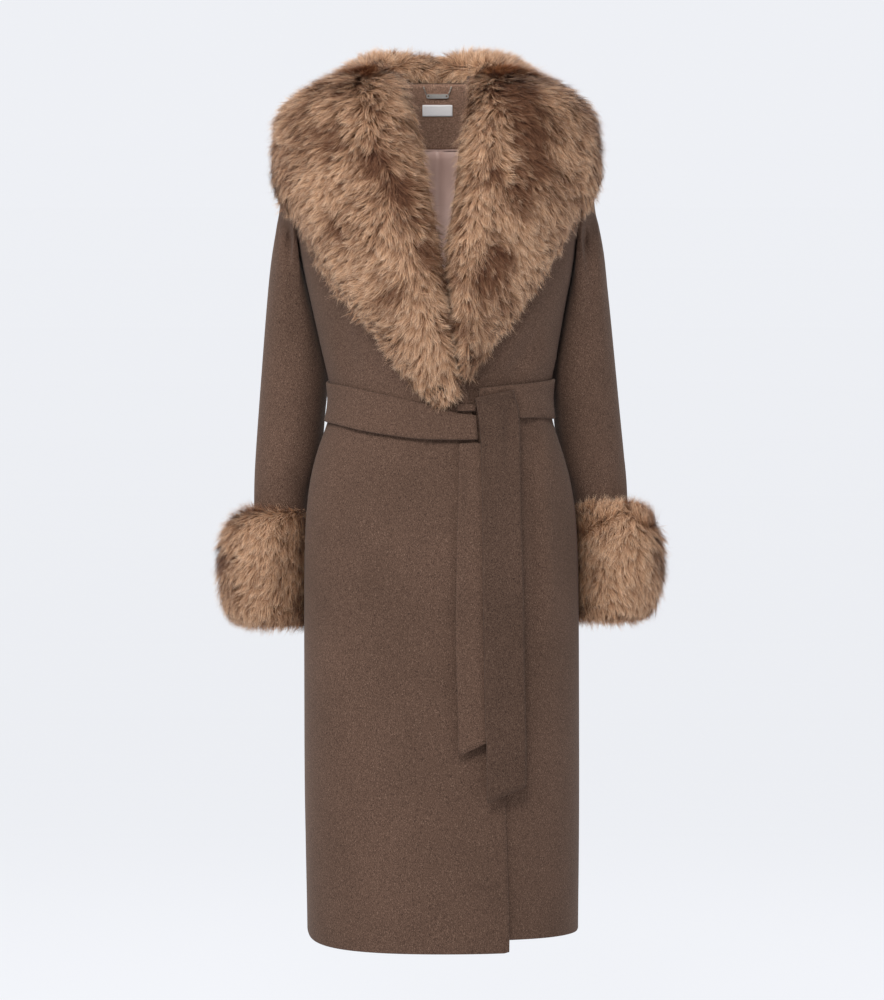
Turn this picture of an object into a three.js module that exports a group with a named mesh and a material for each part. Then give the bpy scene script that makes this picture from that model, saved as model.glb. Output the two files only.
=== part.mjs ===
// A wrap coat in brown wool with a fur shawl collar, fur cuffs and a tie belt, filled out with no wearer.
// Millimetres, +Z up, the front faces -Y. The origin is at the middle of the neck, at back neck seam height.
import * as THREE from 'three';

// Cloth and seams
const WOOL = 2.4;
const SEAM_GAP = 0.4;
const LAYER_GAP = 0.4;
const LINING = 1.2;
const SMALL_ANGLE = 0.2;

// How finely each piece is divided, across it and along it
const BACK_COLUMNS = 18;
const FRONT_COLUMNS = 12;
const BELT_GRID = { rows: 2, columns: 44 };
const WRAP_GRID = { rows: 2, columns: 3 };
const TAIL_COLUMNS = 4;
const FACING_GRID = { rows: 9, columns: 14 };
const LINING_GRID = { rows: 9, columns: 26 };
const LABEL_GRID = { rows: 2, columns: 6 };
const ROUND_SIDES = 8;

// The coat's body, one row for each level: half width, depth in front and behind, sideways lean
const BODY = [
  { z: 40, half: 62, front: 44, back: 58, lean: -6 },
  { z: 10, half: 68, front: 48, back: 59, lean: -6 },
  { z: 0, half: 82, front: 54, back: 61, lean: -6 },
  { z: -20, half: 126, front: 66, back: 69, lean: -6 },
  { z: -40, half: 168, front: 80, back: 79, lean: -6 },
  { z: -52, half: 182, front: 88, back: 84, lean: -6 },
  { z: -75, half: 190, front: 99, back: 93, lean: -6 },
  { z: -110, half: 197, front: 112, back: 103, lean: -6 },
  { z: -156, half: 205, front: 124, back: 109, lean: -6 },
  { z: -185, half: 196, front: 128, back: 110, lean: -6 },
  { z: -210, half: 181, front: 130, back: 109, lean: -6 },
  { z: -240, half: 176, front: 131, back: 107, lean: -5 },
  { z: -280, half: 167, front: 130, back: 102, lean: -5 },
  { z: -320, half: 159, front: 122, back: 95, lean: -4 },
  { z: -360, half: 151, front: 110, back: 89, lean: -3 },
  { z: -414, half: 141, front: 100, back: 85, lean: -2 },
  { z: -450, half: 149, front: 104, back: 92, lean: -2.5 },
  { z: -480, half: 160, front: 110, back: 102, lean: -3 },
  { z: -510, half: 168.5, front: 117, back: 112, lean: -2.5 },
  { z: -543, half: 174, front: 123, back: 119, lean: -1.5 },
  { z: -600, half: 177.5, front: 127, back: 124, lean: -1 },
  { z: -700, half: 178.5, front: 130, back: 127, lean: -0.5 },
  { z: -900, half: 178.5, front: 134, back: 128, lean: 0 },
  { z: -1125, half: 176, front: 138, back: 127, lean: 1 },
];
const ROUNDNESS = 2.2;

// Levels of the panels' rows, from the hem up
const NECK_TOP = 6;
const ARMHOLE = { top: -52, bottom: -210, spread: 32 };
const SHOULDER_LEVELS = [-40, -28, -14, -4];
const ARMHOLE_LEVELS = [-209, -205, -196, -184, -168, -150, -131, -112, -95, -78, -66, -57, -53];
const WAIST_LEVELS = [-480, -450, -432, -414, -390, -360, -320, -280, -245];
const SKIRT_LEVELS = [-1040, -960, -880, -800, -720, -660, -600, -555, -515];
const PANEL_LEVELS = [...SKIRT_LEVELS, ...WAIST_LEVELS, ...ARMHOLE_LEVELS, ...SHOULDER_LEVELS, NECK_TOP];

// Hem and wrap edges
const HEM = { back: -1095, side: -1100, right: -1116, left: -1100, roundness: 5 };
const RIGHT_EDGE = [
  { z: 40, x: -52 }, { z: 0, x: -50 }, { z: -15, x: -45 }, { z: -57, x: -33 }, { z: -98, x: -26 },
  { z: -165, x: -15 }, { z: -214, x: -5 }, { z: -276, x: 5 }, { z: -347, x: 16 }, { z: -420, x: 36 },
  { z: -560, x: 58 }, { z: -920, x: 80 }, { z: -1125, x: 86 },
];
const LEFT_EDGE = [
  { z: 40, x: 30 }, { z: 0, x: 34 }, { z: -27, x: 34 }, { z: -68, x: 24 }, { z: -118, x: 20 },
  { z: -165, x: 15 }, { z: -214, x: 8 }, { z: -263, x: 3 }, { z: -330, x: -14 }, { z: -420, x: -38 },
  { z: -560, x: -58 }, { z: -920, x: -80 }, { z: -1125, x: -86 },
];
const UNDERLAP = { start: 134, full: 96, depth: WOOL + 4 * LAYER_GAP };

// Sleeve rings: the outer and the inner end of each, how far back it sits, how much further back its inner
// end tucks behind the coat's side, and its half depth
const SLEEVE_RINGS = [
  { outX: 192, outZ: -74, inX: 178, inZ: -215, backY: 2, tuck: 12, deep: 62 },
  { outX: 199, outZ: -104, inX: 174, inZ: -222, backY: 3, tuck: 20, deep: 62 },
  { outX: 205, outZ: -135, inX: 170, inZ: -233, backY: 6, tuck: 24, deep: 60 },
  { outX: 211, outZ: -170, inX: 164, inZ: -249, backY: 12, tuck: 24, deep: 58 },
  { outX: 217, outZ: -218, inX: 157, inZ: -277, backY: 24, tuck: 18, deep: 58 },
  { outX: 224, outZ: -280, inX: 148, inZ: -322, backY: 33, tuck: 10, deep: 58 },
  { outX: 230, outZ: -345, inX: 141, inZ: -372, backY: 38, tuck: 5, deep: 57 },
  { outX: 236, outZ: -413, inX: 149, inZ: -420, backY: 42, tuck: 0, deep: 54 },
  { outX: 242, outZ: -480, inX: 153, inZ: -480, backY: 46, tuck: 0, deep: 51 },
  { outX: 245, outZ: -515, inX: 160, inZ: -515, backY: 49, tuck: 0, deep: 48 },
  { outX: 246, outZ: -545, inX: 177, inZ: -545, backY: 51, tuck: 0, deep: 45 },
  { outX: 246, outZ: -694, inX: 177, inZ: -694, backY: 51, tuck: 0, deep: 45 },
];
const SLEEVE_SIDES = 26;
const SLEEVE_CLEAR = 1.8;
const HEAD_HUG = { all: -150, none: -205, slack: 14 };
const ARM_LEAN = [
  { z: -160, lean: -6 }, { z: -340, lean: -4.6 }, { z: -480, lean: -3 }, { z: -545, lean: -1.5 },
];

// Fur cuffs
const CUFF = { centre: 234, backY: 52, half: 60, deep: 74, length: 150 };
const CUFF_TOP = { right: -556, left: -548 };
const CUFF_PROFILE = [
  { along: 0, swell: 0.28 }, { along: 0.06, swell: 0.62 }, { along: 0.18, swell: 0.86 },
  { along: 0.36, swell: 0.98 }, { along: 0.54, swell: 1 }, { along: 0.74, swell: 0.94 },
  { along: 0.9, swell: 0.78 }, { along: 1, swell: 0.4 },
];

// Fur collar stations from the centre back to the front tip. An angle is from the centre back, an x is on the front
const COLLAR_RIGHT = [
  { inAngle: 0.15, inZ: 12, outAngle: 0.15, outZ: -158, thick: 40, rise: 40, fall: 0.42 },
  { inAngle: 22, inZ: 12, outAngle: 20, outZ: -158, thick: 41, rise: 40, fall: 0.42 },
  { inAngle: 45, inZ: 12, outAngle: 42, outZ: -152, thick: 38, rise: 31, fall: 0.4 },
  { inAngle: 66, inZ: 12, outAngle: 64, outZ: -142, thick: 31, rise: 14, fall: 0.3 },
  { inAngle: 86, inZ: 12, outAngle: 84, outZ: -134, thick: 25, rise: 4, fall: 0.2 },
  { inAngle: 106, inZ: 9, outAngle: 101, outZ: -148, thick: 27, rise: 3, fall: 0.24 },
  { inX: -52, inZ: -2, outAngle: 112, outZ: -172, thick: 34, rise: 5, fall: 0.38 },
  { inX: -44, inZ: -28, outX: -168, outZ: -200, thick: 42, rise: 5, fall: 0.46 },
  { inX: -36, inZ: -58, outX: -158, outZ: -228, thick: 44, rise: 3, fall: 0.42 },
  { inX: -27, inZ: -98, outX: -142, outZ: -256, thick: 43, rise: 0, fall: 0.4 },
  { inX: -18, inZ: -145, outX: -122, outZ: -284, thick: 42, rise: 0, fall: 0.4 },
  { inX: -9, inZ: -195, outX: -98, outZ: -312, thick: 40, rise: 0, fall: 0.4 },
  { inX: 0, inZ: -245, outX: -75, outZ: -340, thick: 37, rise: 0, fall: 0.4 },
  { inX: 8, inZ: -297, outX: -54, outZ: -370, thick: 33, rise: 0, fall: 0.4 },
  { inX: 16, inZ: -350, outX: -30, outZ: -400, thick: 28, rise: 0, fall: 0.4 },
  { inX: 22, inZ: -400, outX: -5, outZ: -424, thick: 21, rise: 0, fall: 0.4 },
];
const COLLAR_LEFT = [
  { inAngle: 0.15, inZ: 12, outAngle: 0.15, outZ: -158, thick: 40, rise: 40, fall: 0.42 },
  { inAngle: 22, inZ: 12, outAngle: 20, outZ: -158, thick: 41, rise: 40, fall: 0.42 },
  { inAngle: 45, inZ: 12, outAngle: 42, outZ: -152, thick: 38, rise: 31, fall: 0.4 },
  { inAngle: 66, inZ: 12, outAngle: 64, outZ: -142, thick: 31, rise: 14, fall: 0.34 },
  { inAngle: 86, inZ: 12, outAngle: 84, outZ: -132, thick: 25, rise: 4, fall: 0.32 },
  { inAngle: 108, inZ: 9, outAngle: 101, outZ: -142, thick: 27, rise: 3, fall: 0.36 },
  { inX: 37, inZ: -6, outAngle: 112, outZ: -164, thick: 34, rise: 5, fall: 0.42 },
  { inX: 36, inZ: -28, outX: 156, outZ: -192, thick: 42, rise: 5, fall: 0.46 },
  { inX: 29, inZ: -60, outX: 146, outZ: -216, thick: 44, rise: 3, fall: 0.42 },
  { inX: 23, inZ: -98, outX: 132, outZ: -242, thick: 43, rise: 0, fall: 0.4 },
  { inX: 19, inZ: -140, outX: 116, outZ: -268, thick: 42, rise: 0, fall: 0.4 },
  { inX: 12, inZ: -185, outX: 99, outZ: -293, thick: 40, rise: 0, fall: 0.4 },
  { inX: 6, inZ: -230, outX: 82, outZ: -317, thick: 37, rise: 0, fall: 0.4 },
  { inX: 8, inZ: -277, outX: 65, outZ: -339, thick: 33, rise: 0, fall: 0.4 },
  { inX: 15, inZ: -325, outX: 49, outZ: -362, thick: 28, rise: 0, fall: 0.4 },
  { inX: 23, inZ: -372, outX: 35, outZ: -385, thick: 20, rise: 0, fall: 0.4 },
];
const COLLAR_GRID = { rows: 28, columns: 13 };
const COLLAR_SWELL = [
  { across: 0, swell: 0.16 }, { across: 0.06, swell: 0.56 }, { across: 0.12, swell: 0.82 },
  { across: 0.22, swell: 0.97 }, { across: 0.36, swell: 1 }, { across: 0.5, swell: 0.96 },
  { across: 0.66, swell: 0.84 }, { across: 0.8, swell: 0.66 }, { across: 0.92, swell: 0.44 },
  { across: 1, swell: 0.12 },
];
const ROLL = { peak: 0.16, reach: 0.28 };
const COLLAR_LIFT = { onPanel: 3.6, onBelt: 6.6, panelZ: -385, beltZ: -408 };

// Belt: the middle of the band at each angle from the centre back, wearer's right negative
const BELT = { thick: 4, lift: 1.2 };
const BELT_LINE = [
  { angle: -196, middle: -451.5, high: 32 }, { angle: -187, middle: -451, high: 33 },
  { angle: -180, middle: -447, high: 41 }, { angle: -172, middle: -443.5, high: 46 },
  { angle: -150, middle: -433, high: 51 },
  { angle: -120, middle: -421, high: 52 }, { angle: -95, middle: -416, high: 52 },
  { angle: -60, middle: -409, high: 53 }, { angle: 0, middle: -405, high: 54 },
  { angle: 60, middle: -408, high: 53 }, { angle: 95, middle: -412, high: 53 },
  { angle: 125, middle: -415, high: 46 }, { angle: 147, middle: -418, high: 43 },
  { angle: 162, middle: -420, high: 40 },
];
const BELT_WRAP = { x0: 19, x1: 42, top: -421.5, bottom: -430.5 };

// Tie ends: where the sides and ends hang
const TAIL_THICK = 3.6;
const TAIL_STEP = { first: -425, length: 25, count: 20, topClear: 12, endClear: 5 };
const FRONT_TAIL = [
  { z: -400, x0: 38, x1: 86 }, { z: -413, x0: 40, x1: 91 }, { z: -440, x0: 46, x1: 94 },
  { z: -500, x0: 49, x1: 94 }, { z: -580, x0: 50, x1: 95 }, { z: -660, x0: 50, x1: 97 },
  { z: -740, x0: 51, x1: 97 }, { z: -820, x0: 52, x1: 98 }, { z: -878, x0: 54, x1: 99 },
];
const FRONT_TAIL_TOP = { nearZ: -413, farZ: -402 };
const FRONT_TAIL_END = { nearZ: -926, farZ: -905 };
const BACK_TAIL = [
  { z: -472, x0: 22, x1: 70 }, { z: -540, x0: 20, x1: 68 }, { z: -620, x0: 18, x1: 66 },
  { z: -700, x0: 17, x1: 65 }, { z: -780, x0: 18, x1: 65 }, { z: -826, x0: 20, x1: 65 },
];
const BACK_TAIL_TOP = { nearZ: -472, farZ: -472 };
const BACK_TAIL_END = { nearZ: -866, farZ: -845 };
const BACK_TAIL_LIFT = 1;
const FRONT_TAIL_LIFT = 6.4;
const TAIL_HANG = { from: -500, to: -860, out: 7 };

// What shows inside the back neck
const FACING = { half: 64, bottom: -78 };
const FACING_TOP = NECK_TOP - 1;
const INSIDE_SLACK = 0.8;
const LINING_PANEL = { half: 96, bottom: -300 };
const PLEAT = { half: 7, depth: 5, fadeTop: -190, bottom: -250 };
const LABEL = { half: 20, top: -20, bottom: -34, thick: 0.7 };
const PLATE = { wide: 30, high: 6, thick: 1.4, holeRadius: 1.25, z: -9 };
const CHAIN = { topX: 19, bottomX: 15.6, topZ: 2, bottomZ: -6.4, radius: 0.9, clear: 0.6 };

// Materials
const WOOL_BROWN = new THREE.MeshStandardMaterial({ color: 0x5b473e, roughness: 0.95, metalness: 0 });
const FUR_TAN = new THREE.MeshStandardMaterial({ color: 0x8c6a52, roughness: 1, metalness: 0 });
const SATIN_MAUVE = new THREE.MeshStandardMaterial({ color: 0x90756a, roughness: 0.5, metalness: 0 });
const LABEL_WHITE = new THREE.MeshStandardMaterial({ color: 0xcbc3c2, roughness: 0.8, metalness: 0 });
const BRUSHED_METAL = new THREE.MeshStandardMaterial({ color: 0xb8b0a8, roughness: 0.35, metalness: 1 });

const radians = THREE.MathUtils.degToRad;
const degrees = THREE.MathUtils.radToDeg;
const clamp = THREE.MathUtils.clamp;
const mix = THREE.MathUtils.lerp;
const smoothstep = THREE.MathUtils.smoothstep;

// A value from a table at a level or angle, smooth between the rows
function lookUp(rows, key, at, name) {
  const rising = rows[0][key] < rows[rows.length - 1][key];
  const ordered = rising ? rows : [...rows].reverse();
  const last = ordered.length - 1;
  if (at <= ordered[0][key]) return ordered[0][name];
  if (at >= ordered[last][key]) return ordered[last][name];
  const next = ordered.findIndex((row) => row[key] > at);
  const low = next - 1;
  const before = ordered[Math.max(0, low - 1)];
  const after = ordered[Math.min(last, next + 1)];
  const span = ordered[next][key] - ordered[low][key];
  const share = (at - ordered[low][key]) / span;
  const slopeLow = slopeBetween(before, ordered[low], ordered[next], key, name) * span;
  const slopeHigh = slopeBetween(ordered[low], ordered[next], after, key, name) * span;
  return hermite(ordered[low][name], ordered[next][name], slopeLow, slopeHigh, share);
}

// The slope at the middle of three rows, flat where the values turn
function slopeBetween(before, middle, after, key, name) {
  const down = middle[key] === before[key] ? 0 : (middle[name] - before[name]) / (middle[key] - before[key]);
  const up = after[key] === middle[key] ? 0 : (after[name] - middle[name]) / (after[key] - middle[key]);
  if (down * up <= 0) return 0;
  return (2 * down * up) / (down + up);
}

function hermite(start, end, slopeStart, slopeEnd, share) {
  const square = share * share;
  const cube = square * share;
  const first = (2 * cube - 3 * square + 1) * start + (cube - 2 * square + share) * slopeStart;
  return first + (3 * square - 2 * cube) * end + (cube - square) * slopeEnd;
}

function signedPower(value, power) {
  return Math.sign(value) * Math.abs(value) ** power;
}

// A point of the coat's outer face: 0 degrees is the centre back, 90 the wearer's left side, 180 the centre front
function bodyPoint(angle, z) {
  const turn = radians(angle);
  const power = 2 / ROUNDNESS;
  const half = lookUp(BODY, 'z', z, 'half');
  const depth = lookUp(BODY, 'z', z, Math.cos(turn) >= 0 ? 'back' : 'front');
  const x = half * signedPower(Math.sin(turn), power) + lookUp(BODY, 'z', z, 'lean');
  return new THREE.Vector3(x, depth * signedPower(Math.cos(turn), power), z);
}

function bodyNormal(angle, z) {
  const step = 0.5;
  const along = bodyPoint(angle + step, z).sub(bodyPoint(angle - step, z));
  const up = bodyPoint(angle, z + step).sub(bodyPoint(angle, z - step));
  return along.cross(up).normalize().negate();
}

// The point at a distance out from the coat's outer face, or in from it where the distance is negative
function offBody(angle, z, out) {
  const normal = bodyNormal(angle, z);
  const point = bodyPoint(angle, z);
  const outward = normal.x * point.x + normal.y * point.y >= 0 ? 1 : -1;
  return point.addScaledVector(normal, out * outward);
}

// The angle at which the front, or the back, of the coat has a given x
function angleOfX(x, z, front) {
  const half = lookUp(BODY, 'z', z, 'half');
  const across = clamp((x - lookUp(BODY, 'z', z, 'lean')) / half, -1, 1);
  const fromCentre = degrees(Math.asin(Math.abs(across) ** (ROUNDNESS / 2))) * Math.sign(across);
  return front ? 180 - fromCentre : fromCentre;
}

function gapAngle(z) {
  const turn = SEAM_GAP / 2 / lookUp(BODY, 'z', z, 'back');
  return degrees(turn ** (ROUNDNESS / 2));
}

// How far the armhole's edge stands from the side, in degrees
function armholeSpread(z) {
  const middle = (ARMHOLE.top + ARMHOLE.bottom) / 2;
  const reach = (ARMHOLE.top - ARMHOLE.bottom) / 2;
  const share = (z - middle) / reach;
  return ARMHOLE.spread * Math.sqrt(Math.max(0, 1 - share * share));
}

function sideAngle(z) {
  return armholeSpread(z) + gapAngle(z) + SMALL_ANGLE;
}

// One closed wall between an outer and an inner grid of points
function wall(outer, inner, closed = false) {
  const rows = outer.length;
  const columns = outer[0].length;
  const points = [...outer.flat(), ...inner.flat()];
  const at = (side, row, column) => side * rows * columns + row * columns + (column % columns);
  const faces = [];
  const quad = (a, b, c, d) => faces.push(a, b, c, a, c, d);
  const lastColumn = closed ? columns : columns - 1;
  for (let row = 0; row < rows - 1; row += 1) {
    for (let column = 0; column < lastColumn; column += 1) {
      quad(at(0, row, column), at(0, row, column + 1), at(0, row + 1, column + 1), at(0, row + 1, column));
      quad(at(1, row, column), at(1, row + 1, column), at(1, row + 1, column + 1), at(1, row, column + 1));
    }
  }
  for (let column = 0; column < lastColumn; column += 1) {
    const top = rows - 1;
    quad(at(0, 0, column), at(1, 0, column), at(1, 0, column + 1), at(0, 0, column + 1));
    quad(at(0, top, column), at(0, top, column + 1), at(1, top, column + 1), at(1, top, column));
  }
  if (!closed) {
    for (let row = 0; row < rows - 1; row += 1) {
      const end = columns - 1;
      quad(at(0, row, 0), at(0, row + 1, 0), at(1, row + 1, 0), at(1, row, 0));
      quad(at(0, row, end), at(1, row, end), at(1, row + 1, end), at(0, row + 1, end));
    }
  }
  return turnedOut(points, faces);
}

// The mesh with its faces pointing out
function turnedOut(points, faces) {
  let volume = 0;
  for (let i = 0; i < faces.length; i += 3) {
    const [a, b, c] = [points[faces[i]], points[faces[i + 1]], points[faces[i + 2]]];
    volume += a.dot(b.clone().cross(c));
  }
  const index = volume < 0 ? [...faces].reverse() : faces;
  const geometry = new THREE.BufferGeometry();
  geometry.setAttribute('position', new THREE.Float32BufferAttribute(points.flatMap((p) => p.toArray()), 3));
  geometry.setIndex(index);
  geometry.computeVertexNormals();
  return geometry;
}

function named(name, geometry, material) {
  const mesh = new THREE.Mesh(geometry, material);
  mesh.name = name;
  return mesh;
}

function evenly(count) {
  return Array.from({ length: count + 1 }, (_, i) => i / count);
}

// One row of a panel's outer and inner points. The panel runs from one angle to another at each level
function panelRow(columns, from, to, levelAt, out) {
  const points = evenly(columns).map((share) => {
    const z = levelAt(share);
    const angle = mix(from(z), to(z), share);
    const lift = out(bodyPoint(angle, z).x);
    return [offBody(angle, z, lift), offBody(angle, z, lift - WOOL)];
  });
  return [points.map((pair) => pair[0]), points.map((pair) => pair[1])];
}

// A panel from its own hem up to the neck
function panel(name, columns, from, to, hem, out = () => 0) {
  const levels = [hem, ...PANEL_LEVELS.map((level) => () => level)];
  const rows = levels.map((levelAt) => panelRow(columns, from, to, levelAt, out));
  return named(name, wall(rows.map((row) => row[0]), rows.map((row) => row[1])), WOOL_BROWN);
}

function backPanel() {
  const hem = (share) => mix(HEM.back, HEM.side, (2 * share - 1) ** 2);
  return panel('back', BACK_COLUMNS, (z) => sideAngle(z) - 90, (z) => 90 - sideAngle(z), hem);
}

function frontRight() {
  const edge = (z) => angleOfX(lookUp(RIGHT_EDGE, 'z', z, 'x'), z, true) - 360;
  const hem = (share) => mix(HEM.side, HEM.right, 1 - (1 - share) ** HEM.roundness);
  return panel('front_right', FRONT_COLUMNS, (z) => -90 - sideAngle(z), edge, hem);
}

// The left front goes one layer deeper where the right front lies on it
function frontLeft() {
  const edge = (z) => angleOfX(lookUp(LEFT_EDGE, 'z', z, 'x'), z, true);
  const hem = (share) => mix(HEM.side, HEM.left, share);
  const sink = (x) => -UNDERLAP.depth * (1 - smoothstep(x, UNDERLAP.full, UNDERLAP.start));
  return panel('front_left', FRONT_COLUMNS, (z) => 90 + sideAngle(z), edge, hem, sink);
}

function armLean(z) {
  return lookUp(ARM_LEAN, 'z', z, 'lean');
}

// The loop of the sleeve head, on the coat's own form just inside the armhole
function sleeveHead(side, out) {
  const middle = (ARMHOLE.top + ARMHOLE.bottom) / 2;
  const reach = (ARMHOLE.top - ARMHOLE.bottom) / 2 - SEAM_GAP;
  return evenly(SLEEVE_SIDES).slice(0, -1).map((share) => {
    const turn = share * 2 * Math.PI;
    const angle = 90 - (ARMHOLE.spread - SMALL_ANGLE) * Math.sin(turn);
    return offBody(side * angle, middle + reach * Math.cos(turn), out);
  });
}

// One ring of the sleeve's outer face from a table row
function sleeveRing(row, side) {
  const middleX = (row.outX + row.inX) / 2;
  const middleZ = (row.outZ + row.inZ) / 2;
  const across = new THREE.Vector3(row.outX - row.inX, 0, row.outZ - row.inZ);
  const reach = across.length() / 2;
  across.normalize();
  return evenly(SLEEVE_SIDES).slice(0, -1).map((share) => {
    const turn = share * 2 * Math.PI;
    const x = middleX + across.x * reach * Math.cos(turn);
    const y = row.backY + row.deep * Math.sin(turn) + row.tuck * (1 - Math.cos(turn)) / 2;
    const z = middleZ + across.z * reach * Math.cos(turn);
    return z > HEAD_HUG.none ? huggingHead(side, x, y, z) : clearOfSide(side, x, y, z);
  });
}

// Half the width of the coat's own form at a place forward or back
function halfWidthAt(y, z) {
  const depth = lookUp(BODY, 'z', z, y >= 0 ? 'back' : 'front');
  const share = Math.min(1, Math.abs(y) / depth);
  return lookUp(BODY, 'z', z, 'half') * (1 - share ** ROUNDNESS) ** (1 / ROUNDNESS);
}

// Below the armhole the sleeve lies along the coat's side, a little way off it
function clearOfSide(side, x, y, z) {
  const nearest = halfWidthAt(y, z) + side * (lookUp(BODY, 'z', z, 'lean') - armLean(z)) + SLEEVE_CLEAR;
  return new THREE.Vector3(side * Math.max(x, nearest) + armLean(z), y, z);
}

// High on the arm the sleeve stays within the coat's own form, so that the collar can lie on it
function huggingHead(side, x, y, z) {
  const half = lookUp(BODY, 'z', z, 'half') - SEAM_GAP;
  const depth = lookUp(BODY, 'z', z, y >= 0 ? 'back' : 'front');
  const hug = smoothstep(z, HEAD_HUG.none, HEAD_HUG.all);
  const nearX = mix(x, Math.min(x, half), hug);
  const share = Math.min(1, nearX / (half + SEAM_GAP));
  const room = depth * (1 - share ** ROUNDNESS) ** (1 / ROUNDNESS) + (1 - hug) * HEAD_HUG.slack;
  const limited = Math.sign(y) * Math.min(Math.abs(y), room);
  return new THREE.Vector3(side * nearX + armLean(z), limited, z);
}

// A closed tube's points moved in by a thickness, along the lines that cross its own grid
function movedIn(rings, thick) {
  return rings.map((ring, row) => {
    const middle = ring.reduce((sum, point) => sum.add(point), new THREE.Vector3()).divideScalar(ring.length);
    const above = rings[Math.max(0, row - 1)];
    const below = rings[Math.min(rings.length - 1, row + 1)];
    return ring.map((point, column) => {
      const next = ring[(column + 1) % ring.length];
      const before = ring[(column + ring.length - 1) % ring.length];
      const normal = next.clone().sub(before).cross(below[column].clone().sub(above[column])).normalize();
      const outward = point.clone().sub(middle).dot(normal) >= 0 ? 1 : -1;
      return point.clone().addScaledVector(normal, -outward * thick);
    });
  });
}

function sleeve(name, side) {
  const rings = SLEEVE_RINGS.map((row) => sleeveRing(row, side));
  const outer = [sleeveHead(side, 0), ...rings];
  const inner = [sleeveHead(side, -WOOL), ...movedIn(outer, WOOL).slice(1)];
  return named(name, wall(outer, inner, true), WOOL_BROWN);
}

// A ring of the cuff: the swell goes from the sleeve's face, at 0, to the fur's full reach, at 1
function cuffRing(side, z, swell) {
  const end = SLEEVE_RINGS[SLEEVE_RINGS.length - 2];
  const half = (end.outX - end.inX) / 2;
  const middle = (end.outX + end.inX) / 2;
  return evenly(SLEEVE_SIDES).slice(0, -1).map((share) => {
    const turn = share * 2 * Math.PI;
    const innerX = middle + (half + LAYER_GAP) * Math.cos(turn);
    const innerY = end.backY + (end.deep + LAYER_GAP) * Math.sin(turn);
    const outerX = CUFF.centre + CUFF.half * Math.cos(turn);
    const outerY = CUFF.backY + CUFF.deep * Math.sin(turn);
    const x = mix(innerX, outerX, swell);
    return new THREE.Vector3(side * x + armLean(z), mix(innerY, outerY, swell), z);
  });
}

function cuff(name, side, top) {
  const levelOf = (row) => top - row.along * CUFF.length;
  const outer = CUFF_PROFILE.map((row) => cuffRing(side, levelOf(row), row.swell));
  const inner = CUFF_PROFILE.map((row) => cuffRing(side, levelOf(row), 0));
  return named(name, wall(outer, inner, true), FUR_TAN);
}

function collarAngle(station, end, side) {
  const angle = station[`${end}Angle`];
  if (angle !== undefined) return angle;
  const onFront = angleOfX(station[`${end}X`], station[`${end}Z`], true);
  return side > 0 ? onFront : 360 - onFront;
}

// The collar lies on the panels, and its front tip on the belt
function collarLift(z) {
  return mix(COLLAR_LIFT.onBelt, COLLAR_LIFT.onPanel, smoothstep(z, COLLAR_LIFT.beltZ, COLLAR_LIFT.panelZ));
}

// A half of the collar: a fur pad on the coat's own form, thickest near the neck
function collar(name, side, stations) {
  const rows = stations.map((station, order) => ({
    order,
    from: collarAngle(station, 'in', side),
    to: collarAngle(station, 'out', side),
    inZ: station.inZ,
    outZ: station.outZ,
    thick: station.thick,
    rise: station.rise,
    fall: station.fall,
  }));
  const last = rows.length - 1;
  const outer = [];
  const inner = [];
  evenly(COLLAR_GRID.rows).forEach((along) => {
    const at = (name) => lookUp(rows, 'order', along * last, name);
    const lines = [[], []];
    evenly(COLLAR_GRID.columns).forEach((share) => {
      const angle = side * mix(at('from'), at('to'), share);
      const z = mix(at('inZ'), at('outZ'), share);
      const swell = lookUp(COLLAR_SWELL, 'across', share, 'swell');
      const thick = at('thick') * swell * (1 - at('fall') * share);
      const roll = at('rise') * Math.max(0, 1 - ((share - ROLL.peak) / ROLL.reach) ** 2);
      const point = offBody(angle, z, collarLift(z) + thick);
      point.z += roll;
      lines[0].push(point);
      lines[1].push(offBody(angle, z, collarLift(z)));
    });
    outer.push(lines[0]);
    inner.push(lines[1]);
  });
  return named(name, wall(outer, inner), FUR_TAN);
}

function beltWaist() {
  const { rows, columns } = BELT_GRID;
  const first = BELT_LINE[0].angle;
  const last = BELT_LINE[BELT_LINE.length - 1].angle;
  const grid = (out) => evenly(rows).map((up) => evenly(columns).map((share) => {
    const angle = mix(first, last, share);
    const middle = lookUp(BELT_LINE, 'angle', angle, 'middle');
    const high = lookUp(BELT_LINE, 'angle', angle, 'high');
    return offBody(angle, middle + (up - 0.5) * high, out);
  }));
  return named('belt_waist', wall(grid(BELT.lift + BELT.thick), grid(BELT.lift)), WOOL_BROWN);
}

// A flat strip on the front of the coat between two x values and two levels
function frontStrip(name, strip, lift, thick) {
  const { rows, columns } = WRAP_GRID;
  const grid = (out) => evenly(rows).map((up) => evenly(columns).map((share) => {
    const z = mix(strip.bottom, strip.top, up);
    return offBody(angleOfX(mix(strip.x0, strip.x1, share), z, true), z, out);
  }));
  return named(name, wall(grid(lift + thick), grid(lift)), WOOL_BROWN);
}

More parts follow.
